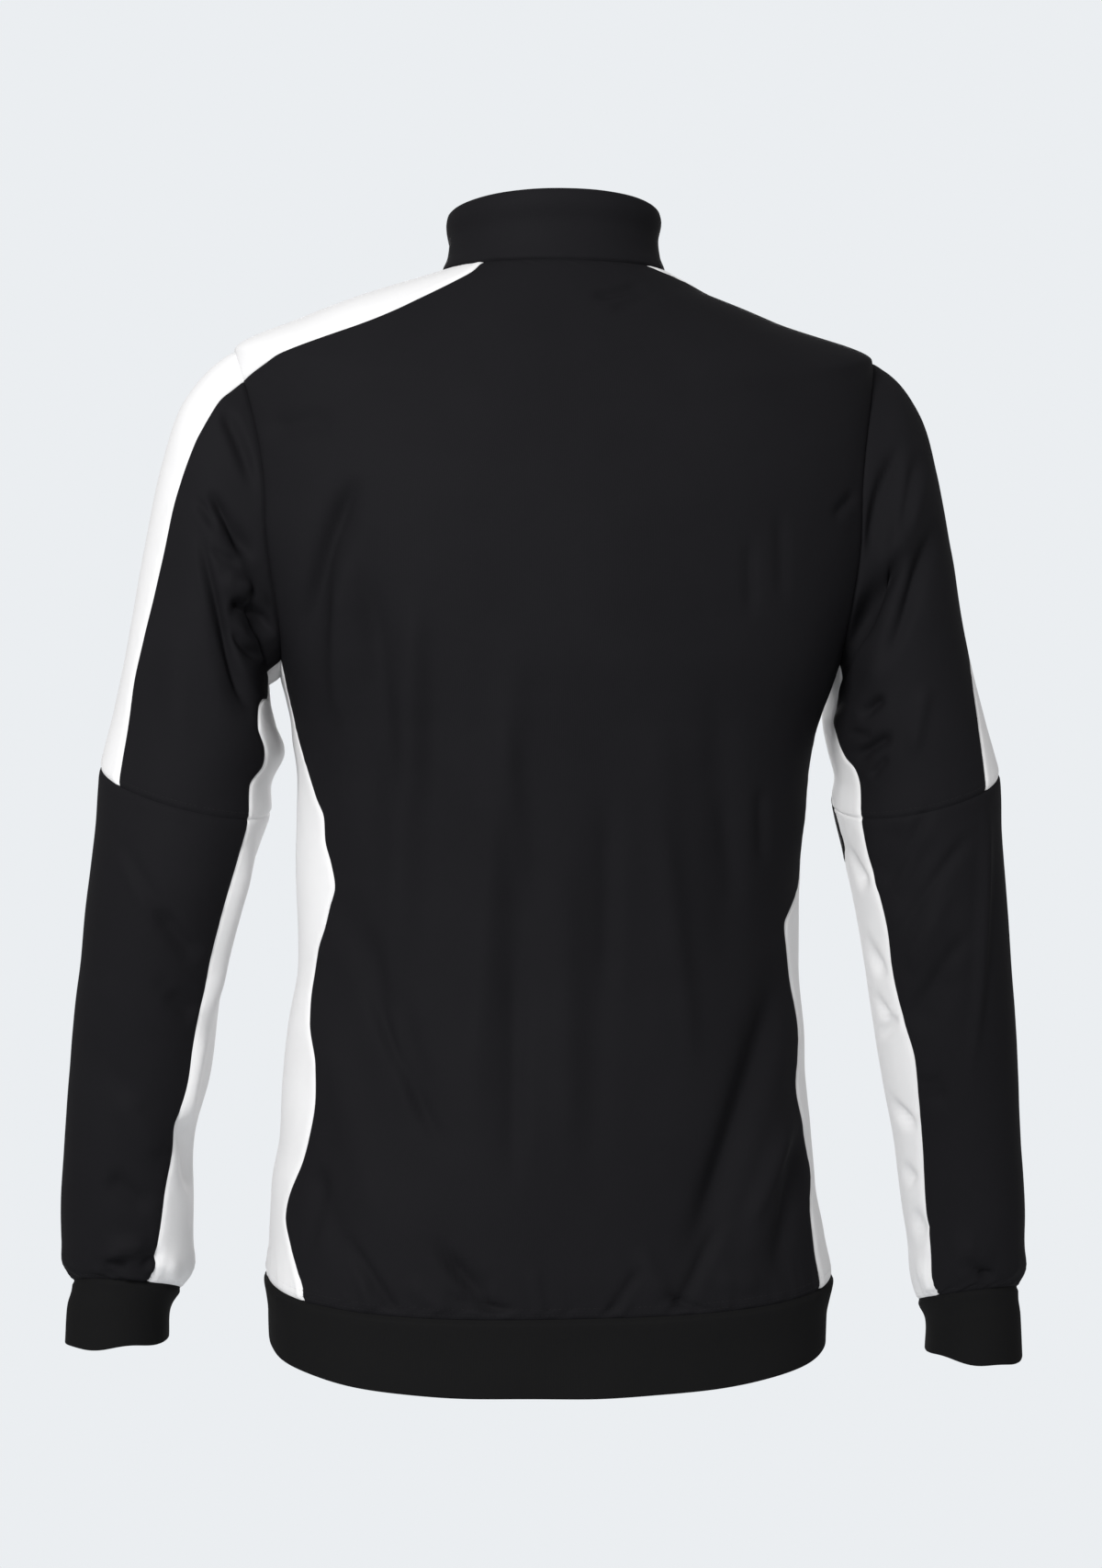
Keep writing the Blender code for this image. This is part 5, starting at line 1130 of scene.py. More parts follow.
def turned_in(outer, inner, reach, edges):
    """The inner skin meets the outer one in a rounded edge along folds."""
    for edge, sort in edges.items():
        if sort == "fold":
            near = 1 - smooth_step(0.0, FOLD_EDGE_RADIUS, reach[edge][0])
            inner = inner + (outer - inner) * (FOLD_EDGE_TURN * near)[..., None]
    return inner


def stitch_line(points, normals, distance, row, edge):
    """Where a row of stitches runs: a line of points and outward directions."""
    if edge in ("start", "end"):
        points, normals, distance = (np.swapaxes(part, 0, 1) for part in (points, normals, distance))
    places, outs = [], []
    for line, out, far in zip(points, normals, distance):
        if far[0] > far[-1]:
            line, out, far = line[::-1], out[::-1], far[::-1]
        after = min(int(np.searchsorted(far, row)), len(far) - 1)
        share = (row - far[after - 1]) / max(far[after] - far[after - 1], 1e-9)
        places.append(line[after - 1] * (1 - share) + line[after] * share)
        outs.append(out[after - 1])
    return np.array(places), np.array(outs)


# ---- The jacket's pieces ----

def body_edge(side, behind):
    """A body panel's outer edge from hem to neck: side seam, armhole and shoulder seam.
    Returns its places and the armhole's turn at each, where it runs on the armhole."""
    stripe, under = armhole_corners(side)
    start, end = (under[0], stripe[1]) if behind else (under[1], stripe[0] + 360.0)
    turns = np.linspace(start, end, round(ARMHOLE_EDGE / GRID_STEP) + 1)
    low, high = armhole(turns[0]), armhole(turns[-1])
    side_table = SIDE_SEAM_BEHIND if behind else SIDE_SEAM_IN_FRONT
    stripe_table = SHOULDER_SEAM_BEHIND if behind else SHOULDER_SEAM_IN_FRONT
    lower = spread(HEM_SEAM, float(low[1]), SIDE_LENGTH, end=False)
    upper = spread(float(high[1]), NECK_SEAM, SHOULDER_LENGTH, start=False)
    hole_angles, hole_levels = armhole(turns)
    angles = np.concatenate([seam_to_corner(side_table, lower, side, low)[:-1], hole_angles,
                             seam_to_corner(stripe_table, upper, side, high)[1:]])
    levels = np.concatenate([lower[:-1], hole_levels, upper[1:]])
    on_hole = np.concatenate([np.full(len(lower) - 1, np.nan), turns,
                              np.full(len(upper) - 1, np.nan)])
    return line(angles * side, levels), on_hole


def armhole_corners(side):
    """Turns on the armhole where the sleeve stripe and the underarm strip begin and end."""
    index = 1 if side > 0 else 2
    return ((STRIPE_EDGE_IN_FRONT[0][index], STRIPE_EDGE_BEHIND[0][index]),
            (UNDERARM_EDGE_BEHIND[0][index], UNDERARM_EDGE_IN_FRONT[0][index]))


def gathered(edge, depth, seed):
    """Gathers that a band draws into the cloth along one edge; none where their depth is 0."""
    if not depth:
        return None

    def extra(reach):
        distance, run = reach[edge]
        beside = np.exp(-(distance / GATHER_REACH) ** 2) - np.exp(-(distance / SEAM_SOFT) ** 2)
        return depth * ripple(run, seed) * beside
    return extra


def torso_piece(node, places, kind, edges, seed, mitres=(), rows=(), gathers=0.0):
    """A piece of the torso from its places, gathered above the hem band where it meets it."""
    return cloth(node, torso_cloth, torso_out, places[..., 0], places[..., 1], kind, edges, rows,
                 gathered("start", gathers, seed + 5.0), mitres=mitres, seed=seed)


def add_back_panel():
    """The back, between the side seams, armholes and shoulder seams."""
    left, left_hole = body_edge(1.0, True)
    right, right_hole = body_edge(-1.0, True)
    share = spread(-1.0, 1.0, BACK_WIDTH)
    angles = np.where(share > 0, share * left[:, :1], -share * right[:, :1])
    levels = right[:, 1:] + (left[:, 1:] - right[:, 1:]) * smooth_step(-1.0, 1.0, share)
    mitres = [("right", armhole_middle(1.0, left_hole)), ("left", armhole_middle(-1.0, right_hole))]
    return torso_piece("back_panel", np.stack([angles, levels], -1), BLACK, SEWN_ROUND, 1.0,
                       mitres, HEM_ROWS, HEM_GATHERS)


def add_front_panel(side, word):
    """One front, from its side seam to the zip."""
    edge, on_hole = body_edge(side, False)
    inner = line(front_angle(TORSO_ROUNDS, edge[:, 1], ZIP_HALF_OPENING) * side, edge[:, 1])
    share = spread(0.0, 1.0, FRONT_WIDTH)[None, :, None]
    places = edge[:, None] * (1 - share) + inner[:, None] * share
    edges = {**SEWN_ROUND, "right": "fold"}
    return torso_piece("front_panel_" + word, places, BLACK, edges, 2.0 + side,
                       [("left", armhole_middle(side, on_hole))],
                       (*HEM_ROWS, ("right", ZIP_ROW)), HEM_GATHERS)


def between_seams(side, seams, turn_ends, far, length, width):
    """Places of a strip from the armhole down or up to a far level, and its armhole turns."""
    lines = []
    for table, turn in zip(seams, turn_ends):
        corner = armhole(turn)
        levels = spread(*sorted((far, float(corner[1]))), length)
        lines.append(line(seam_to_corner(table, levels, side, corner), levels))
    behind, in_front = lines
    turns = spread(*turn_ends, width)
    across = shares(width)
    downward = far < ARMHOLE_MIDDLE
    row = 0 if downward else -1
    ends = [behind[row] + (in_front[row] - behind[row]) * across[:, None], line(*armhole(turns))]
    bottom, top = ends if downward else reversed(ends)
    places = patch(behind, in_front, bottom, top, shares(length), across)
    places[..., 0] *= side
    return places, turns


def add_side_panel(side, word):
    """The white strip from the hem band up to one armhole."""
    places, turns = between_seams(side, (SIDE_SEAM_BEHIND, SIDE_SEAM_IN_FRONT),
                                  armhole_corners(side)[1], HEM_SEAM, SIDE_LENGTH, SIDE_WIDTH)
    return torso_piece("side_panel_" + word, places, WHITE, SEWN_ROUND, 5.0 + side,
                       [("end", armhole_middle(side, turns))], HEM_ROWS, HEM_GATHERS)


def add_shoulder_stripe(side, word):
    """The white strip from one armhole up to the neck."""
    places, turns = between_seams(side, (SHOULDER_SEAM_BEHIND, SHOULDER_SEAM_IN_FRONT),
                                  armhole_corners(side)[0][::-1], NECK_SEAM, SHOULDER_LENGTH,
                                  STRIPE_WIDTH)
    return torso_piece("shoulder_stripe_" + word, places, WHITE, SEWN_ROUND, 8.0 + side,
                       [("start", armhole_middle(side, turns))])


def add_hem_band():
    """The band around the hem, open at the zip."""
    levels = spread(HEM_BOTTOM, HEM_SEAM, BAND_HEIGHT)
    end = front_angle(TORSO_ROUNDS, levels, ZIP_HALF_OPENING)
    share = spread(-1.0, 1.0, HEM_ROUND)
    angles = end[:, None] * share[None, :]
    below = (HEM_SEAM - levels) / (HEM_SEAM - HEM_BOTTOM)
    wave = HEM_WAVE * ripple(share * HEM_ROUND / 2 / WAVE_STRETCH, 4.0)
    edges = {"start": "fold", "end": "seam", "left": "fold", "right": "fold"}
    return cloth("hem_band", torso_cloth, torso_out, angles, levels[:, None] + below[:, None] * wave,
                 BAND, edges, (("left", ZIP_ROW), ("right", ZIP_ROW)), proud=BAND_PROUD, seed=11.0)


def add_collar():
    """The stand collar, open at the zip."""
    heights = spread(COLLAR_START, 1.0, BAND_HEIGHT)
    end = front_angle(COLLAR_CUTS, heights, ZIP_HALF_OPENING)
    share = spread(-1.0, 1.0, COLLAR_ROUND)
    edges = {"start": "seam", "end": "fold", "left": "fold", "right": "fold"}
    return cloth("collar", collar_form, collar_out, end[:, None] * share[None, :],
                 np.repeat(heights[:, None], len(share), 1), COLLAR, edges,
                 (("left", ZIP_ROW), ("right", ZIP_ROW)), seed=13.0)


def sleeve_piece(node, side, places, first, last, kind, seed, rows=(), gathers=0.0):
    """A sleeve piece between two of the seams that run along it."""
    low = seam_angle(first[0], places, side) + first[1]
    high = seam_angle(last[0], places, side) + last[1]
    width = SLEEVE_WIDTHS[node.rsplit("_", 1)[0]]
    share = shares(width)
    turn = low[:, None] + (high - low)[:, None] * share[None, :]
    place = np.repeat(places[:, None], len(share), 1)
    mitres = [("start", armhole_middle(side, turn[0]))] if places[0] == 0.0 else []
    return cloth(node, sleeve_cloth(side), sleeve_out(side), turn, place, kind, SEWN_ROUND, rows,
                 gathered("end", gathers, seed + 2.0), mitres=mitres, seed=seed)


def add_sleeve(side, word):
    """The six pieces of one sleeve, and its cuff."""
    upper = spread(0.0, ELBOW, UPPER_LENGTH)
    lower = spread(ELBOW, WRIST, LOWER_LENGTH)
    stripe_front, stripe_back = (STRIPE_EDGE_IN_FRONT, 0.0), (STRIPE_EDGE_BEHIND, 0.0)
    under_back, under_front = (UNDERARM_EDGE_BEHIND, 0.0), (UNDERARM_EDGE_IN_FRONT, 0.0)
    made = [
        sleeve_piece("sleeve_stripe_" + word, side, upper, stripe_front, stripe_back, WHITE, 15.0),
        sleeve_piece("sleeve_upper_back_" + word, side, upper, stripe_back, under_back, BLACK,
                     17.0 + side, SLEEVE_ROWS),
        sleeve_piece("underarm_upper_" + word, side, upper, under_back, under_front, WHITE,
                     20.0 + side),
        sleeve_piece("sleeve_upper_front_" + word, side, upper, under_front,
                     (STRIPE_EDGE_IN_FRONT, 360.0), BLACK, 23.0 + side, SLEEVE_ROWS),
        sleeve_piece("underarm_lower_" + word, side, lower, under_back, under_front, WHITE,
                     26.0 + side, SLEEVE_ROWS, CUFF_GATHERS),
        sleeve_piece("sleeve_lower_" + word, side, lower, under_front,
                     (UNDERARM_EDGE_BEHIND, 360.0), BLACK, 29.0 + side, SLEEVE_ROWS, CUFF_GATHERS),
    ]
    places = spread(WRIST, CUFF_END, BAND_HEIGHT)
    turn = np.linspace(0.0, 360.0, round(CUFF_ROUND / GRID_STEP) + 1)[:-1]
    below = (places - WRIST) / (CUFF_END - WRIST)
    about = np.radians(turn)
    wave = CUFF_WAVE * (np.sin(2 * about + side) + 0.6 * np.sin(5 * about + 2 * side))
    made.append(cloth("cuff_" + word, sleeve_cloth(side), sleeve_out(side),
                      np.repeat(turn[None, :], len(places), 0),
                      places[:, None] + below[:, None] * wave, BAND,
                      {"start": "seam", "end": "fold"}, proud=CUFF_PROUD, around=True,
                      seed=32.0 + side))
    return made


def tape_line(x, side):
    """Points and outward directions up a zip tape, x cm from the middle."""
    levels = np.concatenate([np.linspace(HEM_BOTTOM, TAPE_BODY_TOP, 150),
                             np.linspace(TAPE_NECK_START, NECK_SEAM, 8)])
    angle = front_angle(TORSO_ROUNDS, levels, x) * side
    body_out = torso_out(angle, levels)
    depth = smooth_rows(TAPE_DEPTHS, levels)[0] * CM
    body = torso_form(angle, levels) - body_out * depth[:, None]
    heights = np.linspace(*TAPE_IN_COLLAR, 12)
    angle = front_angle(COLLAR_CUTS, heights, x) * side
    neck_out = collar_out(angle, heights)
    neck = collar_form(angle, heights) - neck_out * TAPE_UNDER_COLLAR
    return np.concatenate([body, neck]), np.concatenate([body_out, neck_out])


def add_zip_tape(side, word):
    """One side's zip tape."""
    lines = [tape_line(x, side) for x in np.linspace(0.02, TAPE_REACH, 8)]
    outer = np.stack([points for points, _ in lines], axis=1)
    out = np.stack([outs for _, outs in lines], axis=1)
    node = "zip_tape_" + word
    data = grid_mesh(node + "_cloth", outer, outer - out * TAPE_THICK, False)
    return part_of(node + "_cloth", data, tape_finish, "zip_tape", node)


# ---- Finishes ----

def new_finish(name):
    """A new finish with its nodes and links."""
    finish = bpy.data.materials.new(name)
    finish.use_nodes = True
    return finish, finish.node_tree.nodes, finish.node_tree.links


def math_node(nodes, links, operation, first, second=None, third=None):
    """The result of one operation on numbers or sockets."""
    node = nodes.new("ShaderNodeMath")
    node.operation = operation
    for socket, value in zip(node.inputs, (first, second, third)):
        if isinstance(value, (int, float)):
            socket.default_value = value
        elif value is not None:
            links.new(value, socket)
    return node.outputs[0]


def noise_node(nodes, links, place, scale, detail=2.0, roughness=0.5):
    """Soft noise at the given places."""
    node = nodes.new("ShaderNodeTexNoise")
    node.inputs["Scale"].default_value = scale
    node.inputs["Detail"].default_value = detail
    node.inputs["Roughness"].default_value = roughness
    links.new(place, node.inputs["Vector"])
    return node.outputs["Fac"]


def mix_node(nodes, links, factor, first, second):
    """A colour that runs from the first to the second."""
    tone = nodes.new("ShaderNodeMix")
    tone.data_type = "RGBA"
    tone.inputs["A"].default_value = first
    tone.inputs["B"].default_value = second
    links.new(factor, tone.inputs["Factor"])
    return tone.outputs["Result"]


def bump_node(nodes, links, height, strength, distance, onto=None):
    """The direction of a surface with fine relief, laid onto another relief if there is one."""
    bump = nodes.new("ShaderNodeBump")
    bump.inputs["Strength"].default_value = strength
    bump.inputs["Distance"].default_value = distance
    links.new(height, bump.inputs["Height"])
    if onto is not None:
        links.new(onto, bump.inputs["Normal"])
    return bump.outputs["Normal"]


def along_cloth(nodes):
    """Places along a cloth piece, in metres."""
    spot = nodes.new("ShaderNodeUVMap")
    spot.uv_map = "cloth"
    return spot.outputs["UV"]


def knit_finish(name, light, dark_tone_and_shade, roughness, gloss, sheen):
    """Smooth interlock knit: wales along the piece's v, courses across it, fine fibre on top."""
    finish, nodes, links = new_finish(name)
    shader = nodes["Principled BSDF"]
    shader.inputs["Sheen Weight"].default_value = sheen
    shader.inputs["Sheen Roughness"].default_value = SHEEN_ROUGHNESS
    shader.inputs["Specular IOR Level"].default_value = gloss
    split = nodes.new("ShaderNodeSeparateXYZ")
    links.new(along_cloth(nodes), split.inputs["Vector"])
    place = nodes.new("ShaderNodeTexCoord").outputs["Object"]
    turn = 2 * math.pi
    wale = math_node(nodes, links, "SINE",
                     math_node(nodes, links, "MULTIPLY", split.outputs["X"], turn / WALE_PITCH))
    course_turn = math_node(nodes, links, "MULTIPLY", split.outputs["Y"], turn / COURSE_PITCH)
    course = math_node(nodes, links, "SINE",
                       math_node(nodes, links, "MULTIPLY_ADD", wale, COURSE_BEND, course_turn))
    weave = math_node(nodes, links, "ADD", math_node(nodes, links, "MULTIPLY", wale, WALE_SHARE),
                      math_node(nodes, links, "MULTIPLY", course, COURSE_SHARE))
    fibre = noise_node(nodes, links, place, FIBRE_SCALE, 2.0, 0.6)
    height = math_node(nodes, links, "ADD", weave, fibre)
    fine = bump_node(nodes, links, height, 0.55, KNIT_RELIEF)
    slack = noise_node(nodes, links, place, SLACK_SCALE, 2.0, 0.45)
    links.new(bump_node(nodes, links, slack, 0.5, SLACK_RELIEF, fine), shader.inputs["Normal"])
    cloudy = noise_node(nodes, links, place, CLOUD_SCALE, 3.0, 0.5)
    # Colour: darker in random cloudy patches, plus painted shade that darkens the weave's hollows
    cloud_tone_and_weave_shade = math_node(nodes, links, "ADD",
                       math_node(nodes, links, "MULTIPLY", weave, WEAVE_SHADE), cloudy)
    links.new(mix_node(nodes, links, cloud_tone_and_weave_shade, dark_tone_and_shade, light), shader.inputs["Base Color"])
    uneven_gloss = math_node(nodes, links, "MULTIPLY", cloudy, CLOUD_ROUGHNESS)
    links.new(math_node(nodes, links, "ADD", uneven_gloss, roughness - CLOUD_ROUGHNESS / 2),
              shader.inputs["Roughness"])
    return finish


def tape_weave(name):
    """Woven zip tape."""
    finish, nodes, links = new_finish(name)
    shader = nodes["Principled BSDF"]
    shader.inputs["Base Color"].default_value = TAPE_CLOTH
    shader.inputs["Specular IOR Level"].default_value = 0.3
    wave = nodes.new("ShaderNodeTexWave")
    wave.inputs["Scale"].default_value = TAPE_RIB_SCALE
    wave.inputs["Distortion"].default_value = 1.2
    links.new(along_cloth(nodes), wave.inputs["Vector"])
    links.new(bump_node(nodes, links, wave.outputs["Fac"], 0.6, TAPE_RELIEF), shader.inputs["Normal"])
    links.new(math_node(nodes, links, "MULTIPLY_ADD", wave.outputs["Fac"], 0.15, 0.72),
              shader.inputs["Roughness"])
    return finish


def metal_finish(name):
    """Dark metal, a little worn."""
    finish, nodes, links = new_finish(name)
    shader = nodes["Principled BSDF"]
    shader.inputs["Metallic"].default_value = 1.0
    place = nodes.new("ShaderNodeTexCoord").outputs["Object"]
    worn = noise_node(nodes, links, place, METAL_SCALE, 3.0, 0.6)
    links.new(mix_node(nodes, links, worn, DARK_METAL, WORN_METAL), shader.inputs["Base Color"])
    links.new(math_node(nodes, links, "MULTIPLY_ADD", worn, 0.2, 0.25),
              shader.inputs["Roughness"])
    return finish


def thread_finish(name, colour):
    """Twisted sewing thread or moulded zip coil."""
    finish, nodes, links = new_finish(name)
    shader = nodes["Principled BSDF"]
    shader.inputs["Roughness"].default_value = 0.7
    shader.inputs["Specular IOR Level"].default_value = 0.2
    place = nodes.new("ShaderNodeTexCoord").outputs["Object"]
    # The twist's relief also darkens the colour where it sinks: painted shade, on the thread and the
    # zip coil alike
    twist_relief_and_shade = noise_node(nodes, links, place, THREAD_SCALE, 2.0, 0.5)
    dark_tone_and_shade = tuple(THREAD_SHADE * part for part in colour[:3]) + (1.0,)
    links.new(mix_node(nodes, links, twist_relief_and_shade, dark_tone_and_shade, colour), shader.inputs["Base Color"])
    links.new(bump_node(nodes, links, twist_relief_and_shade, 0.4, THREAD_RELIEF), shader.inputs["Normal"])
    return finish


# ---- Repeats along a line: stitches and zip teeth ----

def run_tree():
    """Copies of a shape along lines, each turned to its line and to the cloth's outward side."""
    tree = bpy.data.node_groups.new("run_of_repeats", "GeometryNodeTree")
    for name, kind in (("Lines", "Geometry"), ("Shape", "Object"), ("Pitch", "Float"),
                       ("Swap Sides", "Float"), ("Size Spread", "Float"), ("Seed", "Int"),
                       ("Finish", "Material")):
        tree.interface.new_socket(name, in_out="INPUT", socket_type="NodeSocket" + kind)
    tree.interface.new_socket("Repeats", in_out="OUTPUT", socket_type="NodeSocketGeometry")
    nodes, link = tree.nodes, tree.links.new
    given = nodes.new("NodeGroupInput")
    result = nodes.new("NodeGroupOutput")
    curve = nodes.new("GeometryNodeMeshToCurve")
    link(given.outputs["Lines"], curve.inputs["Mesh"])
    even = nodes.new("GeometryNodeResampleCurve")
    even.mode = "LENGTH"
    link(curve.outputs["Curve"], even.inputs["Curve"])
    link(given.outputs["Pitch"], even.inputs["Length"])
    outward_side = nodes.new("GeometryNodeInputNamedAttribute")
    outward_side.data_type = "FLOAT_VECTOR"
    outward_side.inputs["Name"].default_value = "outward"
    tangent = nodes.new("GeometryNodeInputTangent")
    turn = nodes.new("FunctionNodeAxesToRotation")
    turn.primary_axis = "Z"
    turn.secondary_axis = "X"
    link(outward_side.outputs["Attribute"], turn.inputs["Primary Axis"])
    link(tangent.outputs["Tangent"], turn.inputs["Secondary Axis"])
    shape = nodes.new("GeometryNodeObjectInfo")
    link(given.outputs["Shape"], shape.inputs["Object"])
    place = nodes.new("GeometryNodeInstanceOnPoints")
    link(even.outputs["Curve"], place.inputs["Points"])
    link(shape.outputs["Geometry"], place.inputs["Instance"])
    link(turn.outputs["Rotation"], place.inputs["Rotation"])
    size = nodes.new("FunctionNodeRandomValue")
    least = math_node(nodes, tree.links, "SUBTRACT", 1.0, given.outputs["Size Spread"])
    most = math_node(nodes, tree.links, "ADD", 1.0, given.outputs["Size Spread"])
    link(least, size.inputs[2])
    link(most, size.inputs[3])
    link(given.outputs["Seed"], size.inputs["Seed"])
    link(size.outputs[1], place.inputs["Scale"])
    index = nodes.new("GeometryNodeInputIndex")
    odd = math_node(nodes, tree.links, "MODULO", index.outputs["Index"], 2.0)
    half_turn = math_node(nodes, tree.links, "MULTIPLY", odd, math.pi)
    swap = math_node(nodes, tree.links, "MULTIPLY", half_turn, given.outputs["Swap Sides"])
    about = nodes.new("ShaderNodeCombineXYZ")
    link(swap, about.inputs["Z"])
    swapped = nodes.new("GeometryNodeRotateInstances")
    link(place.outputs["Instances"], swapped.inputs["Instances"])
    link(about.outputs["Vector"], swapped.inputs["Rotation"])
    real = nodes.new("GeometryNodeRealizeInstances")
    link(swapped.outputs["Instances"], real.inputs["Geometry"])
    painted = nodes.new("GeometryNodeSetMaterial")
    link(real.outputs["Geometry"], painted.inputs["Geometry"])
    link(given.outputs["Finish"], painted.inputs["Material"])
    link(painted.outputs["Geometry"], result.inputs["Repeats"])
    return tree


def capsule(name, length, width, height):
    """A small rounded bar along X that lies on Z = 0."""
    mesh = bmesh.new()
    bmesh.ops.create_uvsphere(mesh, u_segments=6, v_segments=4, radius=0.5)
    bmesh.ops.rotate(mesh, verts=mesh.verts, matrix=Matrix.Rotation(math.pi / 2, 3, "Y"))
    for vert in mesh.verts:
        full = abs(vert.co.x) > 0.2
        stretch = 0.5 * (length - height) * math.copysign(1.0, vert.co.x) if full else 0.0
        vert.co = Vector((vert.co.x * height + stretch, vert.co.y * width, vert.co.z * height))
    data = mesh_of(mesh, name)
    data.shade_smooth()
    return placed(name, data)


def zip_tooth(name):
    """One coil tooth: it reaches across the middle from its own tape."""
    mesh = bmesh.new()
    bmesh.ops.create_cube(mesh, size=1.0)
    bmesh.ops.scale(mesh, verts=mesh.verts, vec=(TOOTH_WIDTH, TOOTH_LENGTH, TOOTH_HEIGHT))
    bmesh.ops.translate(mesh, verts=mesh.verts,
                        vec=(0.0, TOOTH_LENGTH * TOOTH_CROSSING, TOOTH_HEIGHT / 2))
    bmesh.ops.bevel(mesh, geom=mesh.edges[:], offset=0.26 * MM, segments=1, affect="EDGES")
    return placed(name, mesh_of(mesh, name))


def repeats(name, lines, shape, pitch, finish, slot, swap=0.0, size_spread=0.0, seed=0):
    """A finished piece of shapes set along lines of points and outward directions."""
    points = np.concatenate([line_points for line_points, _ in lines])
    outs = np.concatenate([line_outs for _, line_outs in lines])
    starts = np.cumsum([0] + [len(line_points) for line_points, _ in lines])
    edges = [(at, at + 1) for low, high in zip(starts, starts[1:]) for at in range(low, high - 1)]
    data = bpy.data.meshes.new(name)
    data.from_pydata(points, edges, [])
    layer = data.attributes.new("outward", "FLOAT_VECTOR", "POINT")
    layer.data.foreach_set("vector", outs.reshape(-1).astype(np.float32))
    source = placed(name + "_lines", data)
    modifier = source.modifiers.new("repeats", "NODES")
    modifier.node_group = repeat_tree
    values = {"Shape": shape, "Pitch": pitch, "Swap Sides": swap, "Size Spread": size_spread,
              "Seed": seed, "Finish": finish}
    for item in repeat_tree.interface.items_tree:
        if item.in_out == "INPUT" and item.name in values:
            modifier[item.identifier] = values[item.name]
    made = plain_mesh(source)
    made.name = name
    return part_of(name, made, finish, slot)


# ---- Zip slider and pull tab ----

def plate(name, outline, thick, bevel, hole=()):
    """A flat plate in the XZ plane with rounded edges, its middle on Y = 0."""
    flat = bpy.data.curves.new(name, "CURVE")
    flat.dimensions = "2D"
    flat.fill_mode = "BOTH"
    flat.extrude = thick / 2 - bevel
    flat.bevel_depth = bevel
    flat.bevel_resolution = 2
    for points in (outline, hole):
        if len(points):
            spline = flat.splines.new("POLY")
            spline.points.add(len(points) - 1)
            for point, (x, z) in zip(spline.points, points):
                point.co = (x, z, 0.0, 1.0)
            spline.use_cyclic_u = True
    data = plain_mesh(placed(name, flat))
    data.transform(Matrix.Rotation(math.pi / 2, 4, "X"))
    return data


def rounded_outline(corners, radius, steps=5):
    """Points of a closed outline with its corners rounded."""
    points = []
    count = len(corners)
    for number, corner in enumerate(corners):
        here = Vector(corner)
        before = (Vector(corners[number - 1]) - here).normalized()
        after = (Vector(corners[(number + 1) % count]) - here).normalized()
        for step in range(steps + 1):
            share = step / steps
            bend = before * (1 - share) ** 2 + after * share ** 2
            points.append(tuple(here + bend * radius))
    return points


def both_sides(half):
    """An outline from its left half, from the top down."""
    return [*half, *((-x, z) for x, z in reversed(half))]


def slider_frame():
    """The slider's place on the collar and its lean."""
    top, low = collar_form(180.0, 0.9), collar_form(180.0, 0.55)
    rise = top - low
    lean = math.atan2(rise[1], rise[2])
    face = top - rise / np.linalg.norm(rise) * SLIDER_BELOW_TOP
    return Matrix.Translation(Vector(face)) @ Matrix.Rotation(-lean, 4, "X")


def joined_mesh(name, meshes):
    """One mesh from several, its faces outward and its edges over 40 degrees sharp."""
    joined = bmesh.new()
    for data in meshes:
        joined.from_mesh(data)
    bmesh.ops.remove_doubles(joined, verts=joined.verts, dist=0.00001)
    bmesh.ops.recalc_face_normals(joined, faces=joined.faces)
    result = mesh_of(joined, name)
    result.shade_smooth()
    result.set_sharp_from_angle(angle=math.radians(40))
    return result


def add_slider():
    """The slider: a shield in front, a core behind it and the arch that holds the tab."""
    half_w, half_h = SLIDER_WIDTH / 2, SLIDER_HEIGHT / 2
    shield = rounded_outline(both_sides([(-half_w, half_h), (-half_w, -half_h * 0.25),
                                         (-half_w * 0.62, -half_h)]), 1.5 * MM)
    front = plate("slider_front", shield, SLIDER_PLATE, 0.4 * MM)
    front.transform(Matrix.Translation((0.0, -SLIDER_CLEARANCE - SLIDER_PLATE / 2, 0.0)))
    core_back = TAPE_UNDER_COLLAR - SLIDER_CLEARANCE
    core = rounded_outline(both_sides([(-3.1 * MM, 4.8 * MM), (-3.1 * MM, -3.8 * MM)]), 0.8 * MM)
    middle = plate("slider_core", core, core_back + SLIDER_CLEARANCE, 0.2 * MM)
    middle.transform(Matrix.Translation((0.0, (core_back - SLIDER_CLEARANCE) / 2, 0.0)))
    low = -SLIDER_CLEARANCE - SLIDER_PLATE
    arch = [(low + 0.4 * MM, ARCH_HEIGHT / 2 - 0.75 * MM), (low - 2.2 * MM, ARCH_HEIGHT / 2 - 0.8 * MM),
            (low - ARCH_REACH + 0.9 * MM, ARCH_HEIGHT / 2 - 2.0 * MM),
            (low - ARCH_REACH + 0.75 * MM, 0.0),
            (low - ARCH_REACH + 0.9 * MM, -ARCH_HEIGHT / 2 + 1.6 * MM),
            (low - 2.2 * MM, -ARCH_HEIGHT / 2 + 0.75 * MM),
            (low + 0.4 * MM, -ARCH_HEIGHT / 2 + 0.75 * MM)]
    bail = bpy.data.curves.new("slider_bail", "CURVE")
    bail.dimensions = "3D"
    bail.bevel_depth = ARCH_BAR / 2
    bail.bevel_resolution = 4
    bail.use_fill_caps = True
    bail.resolution_u = 6
    spline = bail.splines.new("NURBS")
    spline.points.add(len(arch) - 1)
    for point, (y, z) in zip(spline.points, arch):
        point.co = (0.0, y, z, 1.0)
    spline.use_endpoint_u = True
    spline.order_u = 3
    strip = plain_mesh(placed("slider_bail", bail))
    data = joined_mesh("zip_slider", [front, middle, strip])
    data.transform(slider_frame())
    return part_of("zip_slider_piece", data, metal, "dark_metal", "zip_slider")


